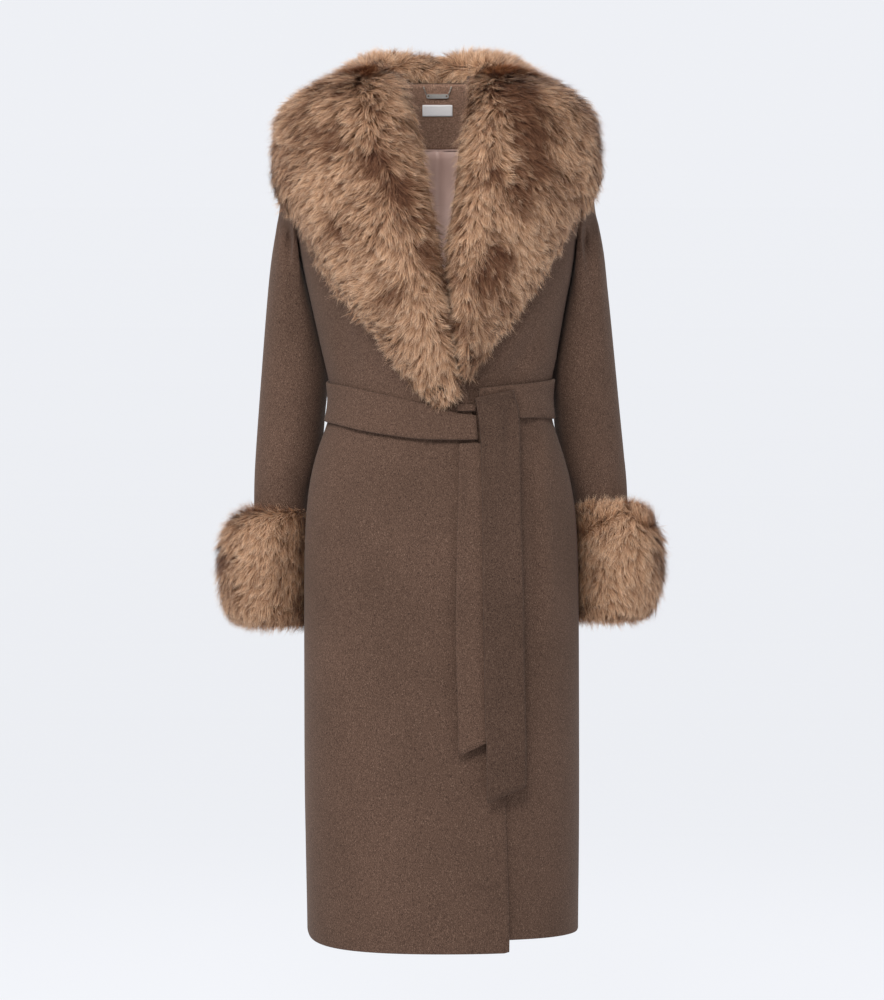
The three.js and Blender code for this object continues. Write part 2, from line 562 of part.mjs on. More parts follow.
// A hanging end of the tie, cut slanting. It lies on the skirt at a lift, and further down hangs clear of it
function tail(name, rows, begin, end, lift) {
  const top = rows[0].z;
  const bottom = rows[rows.length - 1].z;
  const even = evenly(TAIL_STEP.count).map((share) => TAIL_STEP.first - share * TAIL_STEP.count * TAIL_STEP.length);
  const between = even.filter((z) => z < top - TAIL_STEP.topClear && z > bottom + TAIL_STEP.endClear);
  const straight = [...between, bottom].map((level) => () => level);
  const slanted = (ends) => (share) => mix(ends.nearZ, ends.farZ, share);
  const levels = [slanted(begin), ...straight, slanted(end)];
  const grid = (extra) => levels.map((levelAt) => evenly(TAIL_COLUMNS).map((share) => {
    const z = levelAt(share);
    const x = mix(lookUp(rows, 'z', z, 'x0'), lookUp(rows, 'z', z, 'x1'), share);
    const hang = TAIL_HANG.out * smoothstep(-z, -TAIL_HANG.from, -TAIL_HANG.to);
    return offBody(angleOfX(x, z, true), z, lift + hang + extra);
  }));
  return named(name, wall(grid(TAIL_THICK), grid(0)), WOOL_BROWN);
}

// Inside the back: a thin panel just under the wool, between two levels
function insidePanel(name, half, top, bottom, divided, lift, thick, material) {
  const grid = (extra) => evenly(divided.rows).map((down) => evenly(divided.columns).map((share) => {
    const z = mix(top, bottom, down);
    const x = mix(-half, half, share) + lookUp(BODY, 'z', z, 'lean');
    return offBody(angleOfX(x, z, false), z, -lift(x, z) - extra);
  }));
  return named(name, wall(grid(0), grid(thick)), material);
}

function facingBack() {
  const lift = () => WOOL + LAYER_GAP + INSIDE_SLACK;
  return insidePanel('facing_back', FACING.half, FACING_TOP, FACING.bottom, FACING_GRID, lift, LINING, WOOL_BROWN);
}

// The lining with a pleat down the centre back, which stands in from the panel
function liningBack() {
  const lift = (x, z) => {
    const across = Math.abs(x - lookUp(BODY, 'z', z, 'lean')) / PLEAT.half;
    const fade = smoothstep(z, PLEAT.bottom, PLEAT.fadeTop);
    return WOOL + LAYER_GAP + INSIDE_SLACK + PLEAT.depth * Math.max(0, 1 - across) * fade;
  };
  const top = FACING.bottom - LAYER_GAP;
  const { half, bottom } = LINING_PANEL;
  return insidePanel('lining_back', half, top, bottom, LINING_GRID, lift, LINING, SATIN_MAUVE);
}

function label() {
  const lift = () => WOOL + INSIDE_SLACK + LINING + 2 * LAYER_GAP;
  return insidePanel('label', LABEL.half, LABEL.top, LABEL.bottom, LABEL_GRID, lift, LABEL.thick, LABEL_WHITE);
}

// The metal bar under the neck seam, with a round hole at each end for its chain
function hangerPlate() {
  const outline = new THREE.Shape();
  const round = PLATE.high / 2;
  const straight = PLATE.wide / 2 - round;
  outline.absarc(straight, 0, round, -Math.PI / 2, Math.PI / 2);
  outline.absarc(-straight, 0, round, Math.PI / 2, 1.5 * Math.PI);
  [-straight, straight].forEach((x) => {
    const hole = new THREE.Path();
    hole.absarc(x, 0, PLATE.holeRadius, 0, 2 * Math.PI, true);
    outline.holes.push(hole);
  });
  const shaping = { depth: PLATE.thick, bevelEnabled: false, curveSegments: ROUND_SIDES };
  const geometry = new THREE.ExtrudeGeometry(outline, shaping);
  const lean = lookUp(BODY, 'z', PLATE.z, 'lean');
  const seat = insideSeat(lean, PLATE.z, LAYER_GAP);
  const mesh = named('hanger_plate', geometry, BRUSHED_METAL);
  mesh.position.copy(seat.point);
  mesh.quaternion.setFromUnitVectors(new THREE.Vector3(0, 0, 1), seat.inward);
  return mesh;
}

// A point on the facing's inner face, a gap clear of it, and the way into the coat there
function insideSeat(x, z, gap) {
  const angle = angleOfX(x, z, false);
  const depth = WOOL + INSIDE_SLACK + LINING + LAYER_GAP + gap;
  const point = offBody(angle, z, -depth);
  const inward = point.clone().sub(offBody(angle, z, 1 - depth)).normalize();
  return { point, inward };
}

function hangerChain(name, side) {
  const lean = lookUp(BODY, 'z', PLATE.z, 'lean');
  const gap = CHAIN.radius + CHAIN.clear;
  const top = insideSeat(lean + side * CHAIN.topX, CHAIN.topZ, gap).point;
  const bottom = insideSeat(lean + side * CHAIN.bottomX, CHAIN.bottomZ, gap).point;
  const length = top.distanceTo(bottom);
  const geometry = new THREE.CylinderGeometry(CHAIN.radius, CHAIN.radius, length, ROUND_SIDES);
  const mesh = named(name, geometry, BRUSHED_METAL);
  mesh.position.copy(top).add(bottom).multiplyScalar(0.5);
  mesh.quaternion.setFromUnitVectors(new THREE.Vector3(0, 1, 0), top.clone().sub(bottom).normalize());
  return mesh;
}

const coat = new THREE.Group();
coat.add(backPanel(), frontRight(), frontLeft());
coat.add(sleeve('sleeve_right', -1), sleeve('sleeve_left', 1));
coat.add(cuff('cuff_right', -1, CUFF_TOP.right), cuff('cuff_left', 1, CUFF_TOP.left));
coat.add(collar('collar_right', -1, COLLAR_RIGHT), collar('collar_left', 1, COLLAR_LEFT));
coat.add(beltWaist());
coat.add(frontStrip('belt_wrap', BELT_WRAP, BELT.lift, BELT.thick));
coat.add(tail('belt_front_tail', FRONT_TAIL, FRONT_TAIL_TOP, FRONT_TAIL_END, FRONT_TAIL_LIFT));
coat.add(tail('belt_back_tail', BACK_TAIL, BACK_TAIL_TOP, BACK_TAIL_END, BACK_TAIL_LIFT));
coat.add(facingBack(), liningBack(), label(), hangerPlate());
coat.add(hangerChain('hanger_chain_right', -1), hangerChain('hanger_chain_left', 1));

export default coat;
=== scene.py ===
# %% [markdown]
# A wrap coat in brown wool with a fur shawl collar, fur cuffs and a tie belt.
# The imported model comes first. It gives every panel its place, so nothing below is fitted by eye.

# %% The frame
import math

import bmesh
import bpy
import numpy as np
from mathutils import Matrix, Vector
from mathutils.bvhtree import BVHTree
from mathutils.kdtree import KDTree


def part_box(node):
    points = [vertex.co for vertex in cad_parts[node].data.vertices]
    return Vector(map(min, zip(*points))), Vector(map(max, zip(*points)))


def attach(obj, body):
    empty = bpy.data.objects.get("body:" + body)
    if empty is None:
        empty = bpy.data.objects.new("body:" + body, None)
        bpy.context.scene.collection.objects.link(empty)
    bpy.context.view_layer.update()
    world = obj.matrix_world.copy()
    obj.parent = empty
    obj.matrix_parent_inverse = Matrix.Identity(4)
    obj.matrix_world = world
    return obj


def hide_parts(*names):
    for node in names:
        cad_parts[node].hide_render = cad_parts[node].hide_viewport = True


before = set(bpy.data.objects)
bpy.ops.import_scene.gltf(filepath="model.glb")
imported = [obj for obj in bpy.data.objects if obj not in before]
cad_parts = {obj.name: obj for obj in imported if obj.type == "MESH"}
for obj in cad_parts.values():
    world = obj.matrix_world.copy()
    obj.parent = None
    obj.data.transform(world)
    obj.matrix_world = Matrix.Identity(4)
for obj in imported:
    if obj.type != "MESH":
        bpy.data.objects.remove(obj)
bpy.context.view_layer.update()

BODY = "root"
MM = 0.001
rng = np.random.default_rng(seed=11)
print("nodes:", sorted(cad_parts))

# %% [markdown]
# The camera stands level with the middle of the coat, 4.5 metres in front of it, with a long lens.
# At the depth of the side seams one picture element is 1.3 mm, which gives the lens its length.

# %% The camera
CAMERA_DISTANCE = 4.5
CAMERA_HEIGHT = -0.543
PICTURE_HEIGHT = 1.3
SENSOR = 36.0


def make_camera():
    data = bpy.data.cameras.new("camera")
    data.sensor_width = SENSOR
    data.lens = SENSOR * CAMERA_DISTANCE / PICTURE_HEIGHT
    camera = bpy.data.objects.new("camera", data)
    camera.location = (0, -CAMERA_DISTANCE, CAMERA_HEIGHT)
    camera.rotation_euler = (math.radians(90), 0, 0)
    bpy.context.scene.collection.objects.link(camera)
    bpy.context.scene.camera = camera
    return camera


print("lens:", round(make_camera().data.lens, 1), "mm")

# %% [markdown]
# A studio for a plain cut-out picture is a pale, even surround and soft lights.
# The floor sweeps up behind the coat in one curve, and glows, so that it stays even.
# The front light stands above the camera, so that it also reaches into the neck. A second one from the left
# rounds the form, a much weaker one fills the right, and one behind lifts the edges.

# %% The studio
PALE = (0.855, 0.871, 0.904, 1.0)
FLOOR_LEVEL = -1.42
SWEEP_BACK = 6.5
SWEEP_RADIUS = 2.0
SWEEP_HEIGHT = 7.0
SWEEP_SIDE = 30.0
SWEEP_FRONT = -9.0
SWEEP_STEPS = 16
FLOOR_GREY = (0.2, 0.2, 0.21, 1)
FLOOR_GLOW = 0.835
SURROUND_GLOW = 0.50
COAT_MIDDLE = (0, 0, -0.45)
LIGHTS = [
    ("front", (-0.35, -2.9, 1.6), COAT_MIDDLE, (0.8, 0.8), 60),
    ("left", (-2.0, -2.4, 1.7), (0, 0, -0.3), (1.4, 1.4), 52),
    ("right", (2.8, -2.4, 0.4), COAT_MIDDLE, (1.6, 2.4), 8),
    ("back", (0.4, 2.4, 1.8), COAT_MIDDLE, (2.4, 1.4), 30),
]


def make_sweep():
    outline = [(SWEEP_FRONT, FLOOR_LEVEL), (0.0, FLOOR_LEVEL)]
    for step in range(SWEEP_STEPS + 1):
        turn = math.radians(90) * step / SWEEP_STEPS
        back = SWEEP_BACK - SWEEP_RADIUS + SWEEP_RADIUS * math.sin(turn)
        outline.append((back, FLOOR_LEVEL + SWEEP_RADIUS * (1 - math.cos(turn))))
    outline.append((SWEEP_BACK, SWEEP_HEIGHT))
    points = [(side, back, up) for back, up in outline for side in (-SWEEP_SIDE, SWEEP_SIDE)]
    faces = [(2 * i, 2 * i + 1, 2 * i + 3, 2 * i + 2) for i in range(len(outline) - 1)]
    mesh = bpy.data.meshes.new("floor")
    mesh.from_pydata(points, [], faces)
    floor = bpy.data.objects.new("floor", mesh)
    bpy.context.scene.collection.objects.link(floor)
    return floor


def floor_material():
    material = bpy.data.materials.new("pale_floor")
    material.use_nodes = True
    shader = material.node_tree.nodes["Principled BSDF"]
    shader.inputs["Base Color"].default_value = FLOOR_GREY
    shader.inputs["Roughness"].default_value = 1.0
    shader.inputs["Specular IOR Level"].default_value = 0.0
    shader.inputs["Emission Color"].default_value = PALE
    shader.inputs["Emission Strength"].default_value = FLOOR_GLOW
    return material


def soft_light(name, place, target, size, power):
    data = bpy.data.lights.new(name, "AREA")
    data.shape = "RECTANGLE"
    data.size, data.size_y = size
    data.energy = power
    lamp = bpy.data.objects.new(name, data)
    lamp.location = place
    aim = Vector(target) - Vector(place)
    lamp.rotation_euler = aim.to_track_quat("-Z", "Y").to_euler()
    bpy.context.scene.collection.objects.link(lamp)
    return lamp


def make_studio():
    make_sweep().data.materials.append(floor_material())
    world = bpy.data.worlds.new("studio")
    world.use_nodes = True
    surround = world.node_tree.nodes["Background"]
    surround.inputs["Color"].default_value = PALE
    surround.inputs["Strength"].default_value = SURROUND_GLOW
    bpy.context.scene.world = world
    for light in LIGHTS:
        soft_light(*light)
    bpy.context.scene.view_settings.view_transform = "Standard"
    bpy.context.scene.view_settings.look = "None"


make_studio()

# %% [markdown]
# Effects that several finishes share are node groups, each with named inputs and outputs.
# The melange group mixes dark, middle and pale fibres at two sizes, as dyed wool does before it is spun,
# and gives a height for the brushed face. The thread group is a fine woven grain for satin and label.

# %% Shared effects
FIBRE_STRETCH = (1.0, 1.0, 0.45)
FIBRE_SHARE = 0.62
SPECK_SHARE = 0.38


def new_group(name, inputs, outputs):
    group = bpy.data.node_groups.new(name, "ShaderNodeTree")
    for label, kind, value in inputs:
        socket = group.interface.new_socket(label, in_out="INPUT", socket_type=kind)
        socket.default_value = value
    for label, kind in outputs:
        group.interface.new_socket(label, in_out="OUTPUT", socket_type=kind)
    start = group.nodes.new("NodeGroupInput")
    end = group.nodes.new("NodeGroupOutput")
    return group, start, end


def add(tree, kind, **values):
    node = tree.nodes.new(kind)
    for key, value in values.items():
        setattr(node, key, value)
    return node


def noise(tree, vector, scale, detail=2.0, roughness=0.5):
    node = tree.nodes.new("ShaderNodeTexNoise")
    node.inputs["Detail"].default_value = detail
    node.inputs["Roughness"].default_value = roughness
    tree.links.new(vector, node.inputs["Vector"])
    if isinstance(scale, float):
        node.inputs["Scale"].default_value = scale
    else:
        tree.links.new(scale, node.inputs["Scale"])
    return node.outputs["Fac"]


def math_node(tree, operation, first, second):
    node = tree.nodes.new("ShaderNodeMath")
    node.operation = operation
    for slot, value in enumerate((first, second)):
        if isinstance(value, float):
            node.inputs[slot].default_value = value
        else:
            tree.links.new(value, node.inputs[slot])
    return node.outputs[0]


def ramp(tree, value, stops):
    node = tree.nodes.new("ShaderNodeValToRGB")
    marks = node.color_ramp.elements
    while len(marks) < len(stops):
        marks.new(0.5)
    for mark, (place, colour) in zip(marks, stops):
        mark.position = place
        mark.color = (*colour, 1.0)
    tree.links.new(value, node.inputs["Fac"])
    return node.outputs["Color"]


def melange_group():
    group, start, end = new_group(
        "wool_melange",
        [("Fibre Scale", "NodeSocketFloat", 900.0), ("Cloud Scale", "NodeSocketFloat", 9.0)],
        [("Fibres", "NodeSocketFloat"), ("Clouds", "NodeSocketFloat"), ("Height", "NodeSocketFloat")],
    )
    place = add(group, "ShaderNodeTexCoord").outputs["Object"]
    stretch = add(group, "ShaderNodeMapping")
    stretch.inputs["Scale"].default_value = FIBRE_STRETCH
    group.links.new(place, stretch.inputs["Vector"])
    stretched = stretch.outputs["Vector"]
    fibre_scale = start.outputs["Fibre Scale"]
    long_fibres = noise(group, stretched, fibre_scale, detail=3.0, roughness=0.7)
    specks = noise(group, place, fibre_scale, detail=1.0, roughness=0.5)
    fibre_part = math_node(group, "MULTIPLY", long_fibres, FIBRE_SHARE)
    speck_part = math_node(group, "MULTIPLY", specks, SPECK_SHARE)
    fibres = math_node(group, "ADD", fibre_part, speck_part)
    clouds = noise(group, place, start.outputs["Cloud Scale"], detail=3.0, roughness=0.55)
    group.links.new(fibres, end.inputs["Fibres"])
    group.links.new(clouds, end.inputs["Clouds"])
    group.links.new(long_fibres, end.inputs["Height"])
    return group


def thread_group():
    group, start, end = new_group(
        "thread_grain",
        [("Thread Scale", "NodeSocketFloat", 1500.0)],
        [("Threads", "NodeSocketFloat")],
    )
    place = add(group, "ShaderNodeTexCoord").outputs["Object"]
    threads = noise(group, place, start.outputs["Thread Scale"], detail=2.0, roughness=0.6)
    group.links.new(threads, end.inputs["Threads"])
    return group


MELANGE = melange_group()
THREADS = thread_group()
print("groups:", [group.name for group in bpy.data.node_groups])

# %% [markdown]
# The wool is a brushed coating cloth. Its brown is a mix of fibres, so up close it is speckled and from afar
# it is even. A faint sheen along the edges of the folds is the nap, which stands up and catches the light.
# The front tie end is the same wool darkened as painted shade, and the facing inside the neck the same wool
# brightened as painted light.

# %% The wool


def plain_material(name, roughness):
    material = bpy.data.materials.new(name)
    material.use_nodes = True
    tree = material.node_tree
    shader = tree.nodes["Principled BSDF"]
    shader.inputs["Roughness"].default_value = roughness
    return material, tree, shader


def use_group(tree, group, **values):
    node = tree.nodes.new("ShaderNodeGroup")
    node.node_tree = group
    for key, value in values.items():
        node.inputs[key.replace("_", " ")].default_value = value
    return node


def bump(tree, shader, height, strength, distance):
    node = tree.nodes.new("ShaderNodeBump")
    node.inputs["Strength"].default_value = strength
    node.inputs["Distance"].default_value = distance
    tree.links.new(height, node.inputs["Height"])
    tree.links.new(node.outputs["Normal"], shader.inputs["Normal"])


def multiply_colours(tree, first, second):
    node = tree.nodes.new("ShaderNodeMix")
    node.data_type = "RGBA"
    node.blend_type = "MULTIPLY"
    node.inputs["Factor"].default_value = 1.0
    tree.links.new(first, node.inputs["A"])
    tree.links.new(second, node.inputs["B"])
    return node.outputs["Result"]


DARK_FIBRE = (0.034, 0.020, 0.014)
BROWN_FIBRE = (0.086, 0.049, 0.034)
TAN_FIBRE = (0.128, 0.075, 0.052)
PALE_FIBRE = (0.235, 0.156, 0.114)
WOOL_SHADES = [(0.38, DARK_FIBRE), (0.47, BROWN_FIBRE), (0.56, TAN_FIBRE), (0.67, PALE_FIBRE)]
WOOL_CLOUDS = [(0.3, (0.88, 0.87, 0.86)), (0.7, (1.10, 1.09, 1.09))]
WOOL_NAP = {"strength": 0.35, "distance": 0.0006}
# The front tie end's fibre colours are scaled down: painted shade on the same wool as the coat.
TIE_END_PAINTED_SHADE = 0.74
# The neck facing's fibre colours are scaled up: painted light where the collar shades the inside of the neck.
FACING_PAINTED_LIGHT = 2.7


def lifted(colour, lift):
    return tuple(part * lift for part in colour)


# lift scales every fibre colour of the wool: below 1 it is painted shade, above 1 painted light.
def wool_material(name, lift=1.0):
    material, tree, shader = plain_material(name, roughness=0.92)
    weave = use_group(tree, MELANGE, Fibre_Scale=1150.0, Cloud_Scale=7.0)
    shades = [(place, lifted(shade, lift)) for place, shade in WOOL_SHADES]
    fibres = ramp(tree, weave.outputs["Fibres"], shades)
    clouds = ramp(tree, weave.outputs["Clouds"], WOOL_CLOUDS)
    tree.links.new(multiply_colours(tree, fibres, clouds), shader.inputs["Base Color"])
    shader.inputs["Specular IOR Level"].default_value = 0.15
    shader.inputs["Sheen Weight"].default_value = 0.08
    shader.inputs["Sheen Roughness"].default_value = 0.5
    shader.inputs["Sheen Tint"].default_value = (0.95, 0.80, 0.70, 1)
    bump(tree, shader, weave.outputs["Height"], **WOOL_NAP)
    return material


WOOL = wool_material("brown_wool")
BELT_WOOL = wool_material("belt_wool")
# The tie end's wool, darkened as painted shade.
TIE_END_WOOL_PAINTED_SHADE = wool_material("tie_end_wool_painted_shade", TIE_END_PAINTED_SHADE)
# The facing's wool, brightened as painted light.
FACING_WOOL_PAINTED_LIGHT = wool_material("facing_wool_painted_light", FACING_PAINTED_LIGHT)
print("wool:", [material.name for material in (WOOL, BELT_WOOL, TIE_END_WOOL_PAINTED_SHADE, FACING_WOOL_PAINTED_LIGHT)])

# %% [markdown]
# Each wool piece starts from its own solid in the frame, so its seams and hems stay in place.
# The copy is turned into mostly four-sided faces and subdivided, with its cut edges held crisp.
# Folds then go in as soft troughs along listed lines, both faces of the cloth moving together.

# %% Cloth from its solid
EDGE_ANGLE = math.radians(52)
EDGE_HOLD = 0.72
WELD = 2e-6
JOIN_BEND = math.radians(50)
JOIN_SKEW = math.radians(60)


def cloth_copy(node, name, levels, material):
    source = bpy.data.objects[node].data.copy()
    work = bmesh.new()
    work.from_mesh(source)
    bmesh.ops.remove_doubles(work, verts=work.verts, dist=WELD)
    bmesh.ops.join_triangles(
        work, faces=work.faces, cmp_seam=False, cmp_sharp=False, cmp_uvs=False, cmp_vcols=False,
        cmp_materials=False, angle_face_threshold=JOIN_BEND, angle_shape_threshold=JOIN_SKEW,
    )
    crease = work.edges.layers.float.get("crease_edge") or work.edges.layers.float.new("crease_edge")
    for edge in work.edges:
        if len(edge.link_faces) == 2 and edge.calc_face_angle(0) > EDGE_ANGLE:
            edge[crease] = EDGE_HOLD
    work.to_mesh(source)
    work.free()
    piece = bpy.data.objects.new(name, source)
    bpy.context.scene.collection.objects.link(piece)
    finer = piece.modifiers.new("finer", "SUBSURF")
    finer.levels = levels
    finer.render_levels = levels
    apply_modifiers(piece)
    piece.data.materials.clear()
    piece.data.materials.append(material)
    shade_smooth(piece)
    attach(piece, BODY)
    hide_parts(node)
    return piece


def apply_modifiers(piece):
    depsgraph = bpy.context.evaluated_depsgraph_get()
    finished = bpy.data.meshes.new_from_object(piece.evaluated_get(depsgraph))
    piece.modifiers.clear()
    piece.data = finished


def shade_smooth(piece):
    piece.data.polygons.foreach_set("use_smooth", [True] * len(piece.data.polygons))
    piece.data.update()


def read_points(mesh):
    points = np.empty(len(mesh.vertices) * 3)
    mesh.vertices.foreach_get("co", points)
    return points.reshape(-1, 3)


def write_points(mesh, points):
    mesh.vertices.foreach_set("co", points.ravel())
    mesh.update()


print("edges stay crisp where they bend by more than", round(math.degrees(EDGE_ANGLE)), "degrees")

# %% [markdown]
# A fold is a row of a table: where it starts and ends on the front or back, how wide and how deep it is.
# A positive depth is a ridge, a negative one a trough. A fold fades out towards both its ends.

# %% Folds
FADE_RATE = 4
FADE_START = 0.35


def fold_amount(points, start, end, width, depth):
    line = np.subtract(end, start)
    length = float(np.hypot(*line))
    along = ((points[:, [0, 2]] - start) @ line) / length**2
    nearest = np.array(start) + np.clip(along, 0, 1)[:, None] * line
    away = np.linalg.norm(points[:, [0, 2]] - nearest, axis=1)
    fade = np.clip(np.minimum(along, 1 - along) * FADE_RATE + FADE_START, 0, 1)
    return depth * np.exp(-((away / width) ** 2)) * fade * fade * (3 - 2 * fade)


def press_folds(piece, folds, axis_x=0.0, axis_y=0.0):
    points = read_points(piece.data)
    outward = np.stack([points[:, 0] - axis_x, points[:, 1] - axis_y], axis=1)
    outward /= np.linalg.norm(outward, axis=1)[:, None]
    move = np.zeros(len(points))
    for side, x0, z0, x1, z1, width, depth in folds:
        amount = fold_amount(points, (x0 * MM, z0 * MM), (x1 * MM, z1 * MM), width * MM, depth * MM)
        facing = points[:, 1] - axis_y < 0 if side == "front" else points[:, 1] - axis_y > 0
        move += np.where(facing, amount, 0)
    points[:, :2] += outward * move[:, None]
    write_points(piece.data, points)


print("a fold is at its full depth from", round((1 - FADE_START) / FADE_RATE, 2), "of its length inwards")

# %% [markdown]
# The body is a back and two fronts. The skirt is nearly smooth, with faint long drapes from the hips.
# The folds gather where the belt pulls the cloth in, and slant up from the tie towards the bust.
# The cut edges of back and fronts are drawn together at the sides, where a real coat is sewn.

# %% The body panels
FRONT_FOLDS = [
    ("front", 106, -448, 142, -530, 8, -2.6), ("front", 101, -446, 110, -560, 7, -2.6),
    ("front", 32, -458, -4, -545, 9, -2.6), ("front", 12, -456, -62, -505, 8, -2.2),
    ("front", -118, -462, -128, -620, 16, -3.5), ("front", -96, -466, -102, -560, 12, -2.5),
    ("front", -60, -472, -70, -640, 20, -2.5), ("front", -20, -474, -16, -600, 14, -2.2),
    ("front", 113, -430, 117, -760, 12, -4.2), ("front", 130, -470, 138, -700, 12, 2.4),
    ("front", -140, -560, -138, -980, 30, 2.2), ("front", -30, -620, -38, -1080, 34, 1.8),
    ("front", -86, -700, -84, -1090, 36, -2.0), ("front", 128, -720, 132, -1080, 26, -2.0),
    ("front", 88, -382, 128, -330, 9, -3.2), ("front", 76, -372, 110, -300, 10, 2.2),
    ("front", 104, -386, 146, -352, 8, 2.0), ("front", -112, -384, -128, -300, 12, -2.6),
    ("front", -84, -388, -92, -350, 9, -2.0), ("front", -128, -388, -146, -330, 9, 2.0),
    ("front", 132, -300, 150, -220, 12, -2.4), ("front", -140, -290, -160, -225, 12, -2.2),
]
BACK_FOLDS = [
    ("back", -104, -440, -112, -600, 16, -3.6), ("back", -58, -440, -66, -560, 12, -2.8),
    ("back", -10, -436, -6, -640, 15, -3.4), ("back", 46, -438, 52, -580, 12, -3.0),
    ("back", 98, -442, 108, -640, 17, -3.4), ("back", -80, -372, -90, -290, 12, -3.0),
    ("back", -34, -374, -40, -250, 11, -2.6), ("back", 22, -374, 30, -270, 12, -2.8),
    ("back", 78, -372, 92, -280, 12, -3.0), ("back", -120, -620, -124, -1060, 32, 2.6),
    ("back", -40, -660, -44, -1080, 36, 2.4), ("back", 40, -640, 44, -1070, 34, -2.4),
    ("back", 118, -640, 124, -1060, 32, 2.4),
]
SIDE_SEAM = {"reach": 1.6 * MM, "half_gap": 0.15 * MM}


def close_side_seam(piece):
    points = read_points(piece.data)
    beside = np.abs(points[:, 1]) < SIDE_SEAM["reach"]
    points[beside, 1] = np.copysign(SIDE_SEAM["half_gap"], points[beside, 1])
    write_points(piece.data, points)


def body_panel(node, name, folds):
    panel = cloth_copy(node, name, levels=2, material=WOOL)
    press_folds(panel, folds)
    close_side_seam(panel)
    return panel


def make_body():
    return (
        body_panel("back", "coat_back", BACK_FOLDS),
        body_panel("front_right", "coat_front_right", FRONT_FOLDS),
        body_panel("front_left", "coat_front_left", FRONT_FOLDS),
    )


body_pieces = make_body()
for piece in body_pieces:
    print(piece.name, len(piece.data.polygons), "faces")

# %% [markdown]
# The sleeves are tubes that hang beside the body. Each has a long soft fold from the armhole down the
# front, a few short creases at the elbow, and slight bagging where the fur cuff stops the cloth.

# %% The sleeves
SLEEVE_FOLDS = [
    ("front", 196, -190, 190, -330, 11, -3.6), ("front", 206, -170, 204, -270, 8, 2.6),
    ("front", 176, -320, 206, -352, 9, -2.6), ("front", 184, -372, 222, -396, 8, -2.0),
    ("front", 190, -430, 226, -446, 9, -1.8), ("front", 196, -500, 230, -512, 10, 1.8),
    ("back", 190, -200, 186, -320, 12, -3.4), ("back", 172, -330, 214, -366, 9, -2.8),
    ("back", 178, -386, 222, -416, 9, -2.4), ("back", 198, -470, 232, -500, 10, -2.0),
]
LEFT_SLEEVE_AXIS = (0.190, 0.02)
RIGHT_SLEEVE_AXIS = (-0.198, 0.02)


def mirrored(folds):
    return [(side, -x0, z0, -x1, z1, width, depth) for side, x0, z0, x1, z1, width, depth in folds]


def make_sleeves():
    left = cloth_copy("sleeve_left", "sleeve_left_cloth", levels=2, material=WOOL)
    press_folds(left, SLEEVE_FOLDS, *LEFT_SLEEVE_AXIS)
    right = cloth_copy("sleeve_right", "sleeve_right_cloth", levels=2, material=WOOL)
    press_folds(right, mirrored(SLEEVE_FOLDS), *RIGHT_SLEEVE_AXIS)
    return left, right


sleeve_pieces = make_sleeves()
print([piece.name for piece in sleeve_pieces])

# %% [markdown]
# The belt is a doubled strip of the same wool. It lies round the waist, and its two ends hang in front.
# Pulled tight, it creases beside the tie, and its ends leave the tie with a soft crease along each edge.

# %% The belt
BAND_FOLDS = [
    ("front", -130, -451, 30, -467, 8, 2.6), ("front", -130, -410, 20, -424, 6, -0.8),
    ("front", 95, -425, 138, -440, 4, -2.4), ("front", 96, -413, 136, -423, 5, 1.4),
    ("front", 10, -446, -50, -441, 5, -1.5), ("front", 4, -437, -44, -429, 5, 1.0),
    ("front", -96, -420, -140, -414, 6, -1.4), ("back", -70, -420, -10, -424, 5, -1.4),
    ("back", 30, -412, 90, -418, 5, -1.4),
]
TIE_END_FOLDS = [
    ("front", 40, -414, 92, -402, 6, 3.2), ("front", 52, -430, 60, -520, 5, -1.7),
    ("front", 86, -424, 84, -500, 5, -1.7), ("front", 70, -420, 72, -480, 6, 1.2),
    ("front", 30, -480, 34, -560, 6, -1.2),
    ("front", 97, -425, 101, -920, 9, 3.2), ("front", 20, -500, 16, -870, 9, 2.4),
]


def make_belt():
    band = cloth_copy("belt_waist", "belt_band", levels=2, material=BELT_WOOL)
    press_folds(band, BAND_FOLDS)
    strip = cloth_copy("belt_wrap", "belt_strip", levels=2, material=BELT_WOOL)
    # The front end carries the wool darkened as painted shade.
    front_end = cloth_copy("belt_front_tail", "belt_end_front", levels=2, material=TIE_END_WOOL_PAINTED_SHADE)
    press_folds(front_end, TIE_END_FOLDS)
    end_behind = cloth_copy("belt_back_tail", "belt_end_behind", levels=2, material=BELT_WOOL)
    press_folds(end_behind, TIE_END_FOLDS)
    return band, strip, front_end, end_behind


belt_pieces = make_belt()
print([piece.name for piece in belt_pieces])

# %% [markdown]
# Inside the back neck are a wool facing, the satin lining under it and a bare woven label.
# A small metal bar hangs on two short chains, and a thin satin roll edges the facing.
# Their threads and scratches are finer than a picture element, so a fine grain in colour and bump is enough.

# %% Satin, label and metal
SATIN_SHADES = [(0.3, (0.58, 0.37, 0.31)), (0.7, (0.80, 0.54, 0.46))]
LABEL_SHADES = [(0.3, (0.92, 0.88, 0.87)), (0.7, (0.99, 0.96, 0.95))]
METAL_SHADES = [(0.3, (0.78, 0.73, 0.67)), (0.7, (0.92, 0.87, 0.80))]


def satin_material():
    material, tree, shader = plain_material("mauve_satin", roughness=0.46)
    place = add(tree, "ShaderNodeTexCoord").outputs["Object"]
    soft = noise(tree, place, scale=14.0, detail=2.0, roughness=0.5)
    colour = ramp(tree, soft, SATIN_SHADES)
    tree.links.new(colour, shader.inputs["Base Color"])
    shader.inputs["Sheen Weight"].default_value = 0.25
    threads = use_group(tree, THREADS, Thread_Scale=1500.0).outputs["Threads"]
    bump(tree, shader, threads, strength=0.15, distance=0.0003)
    return material


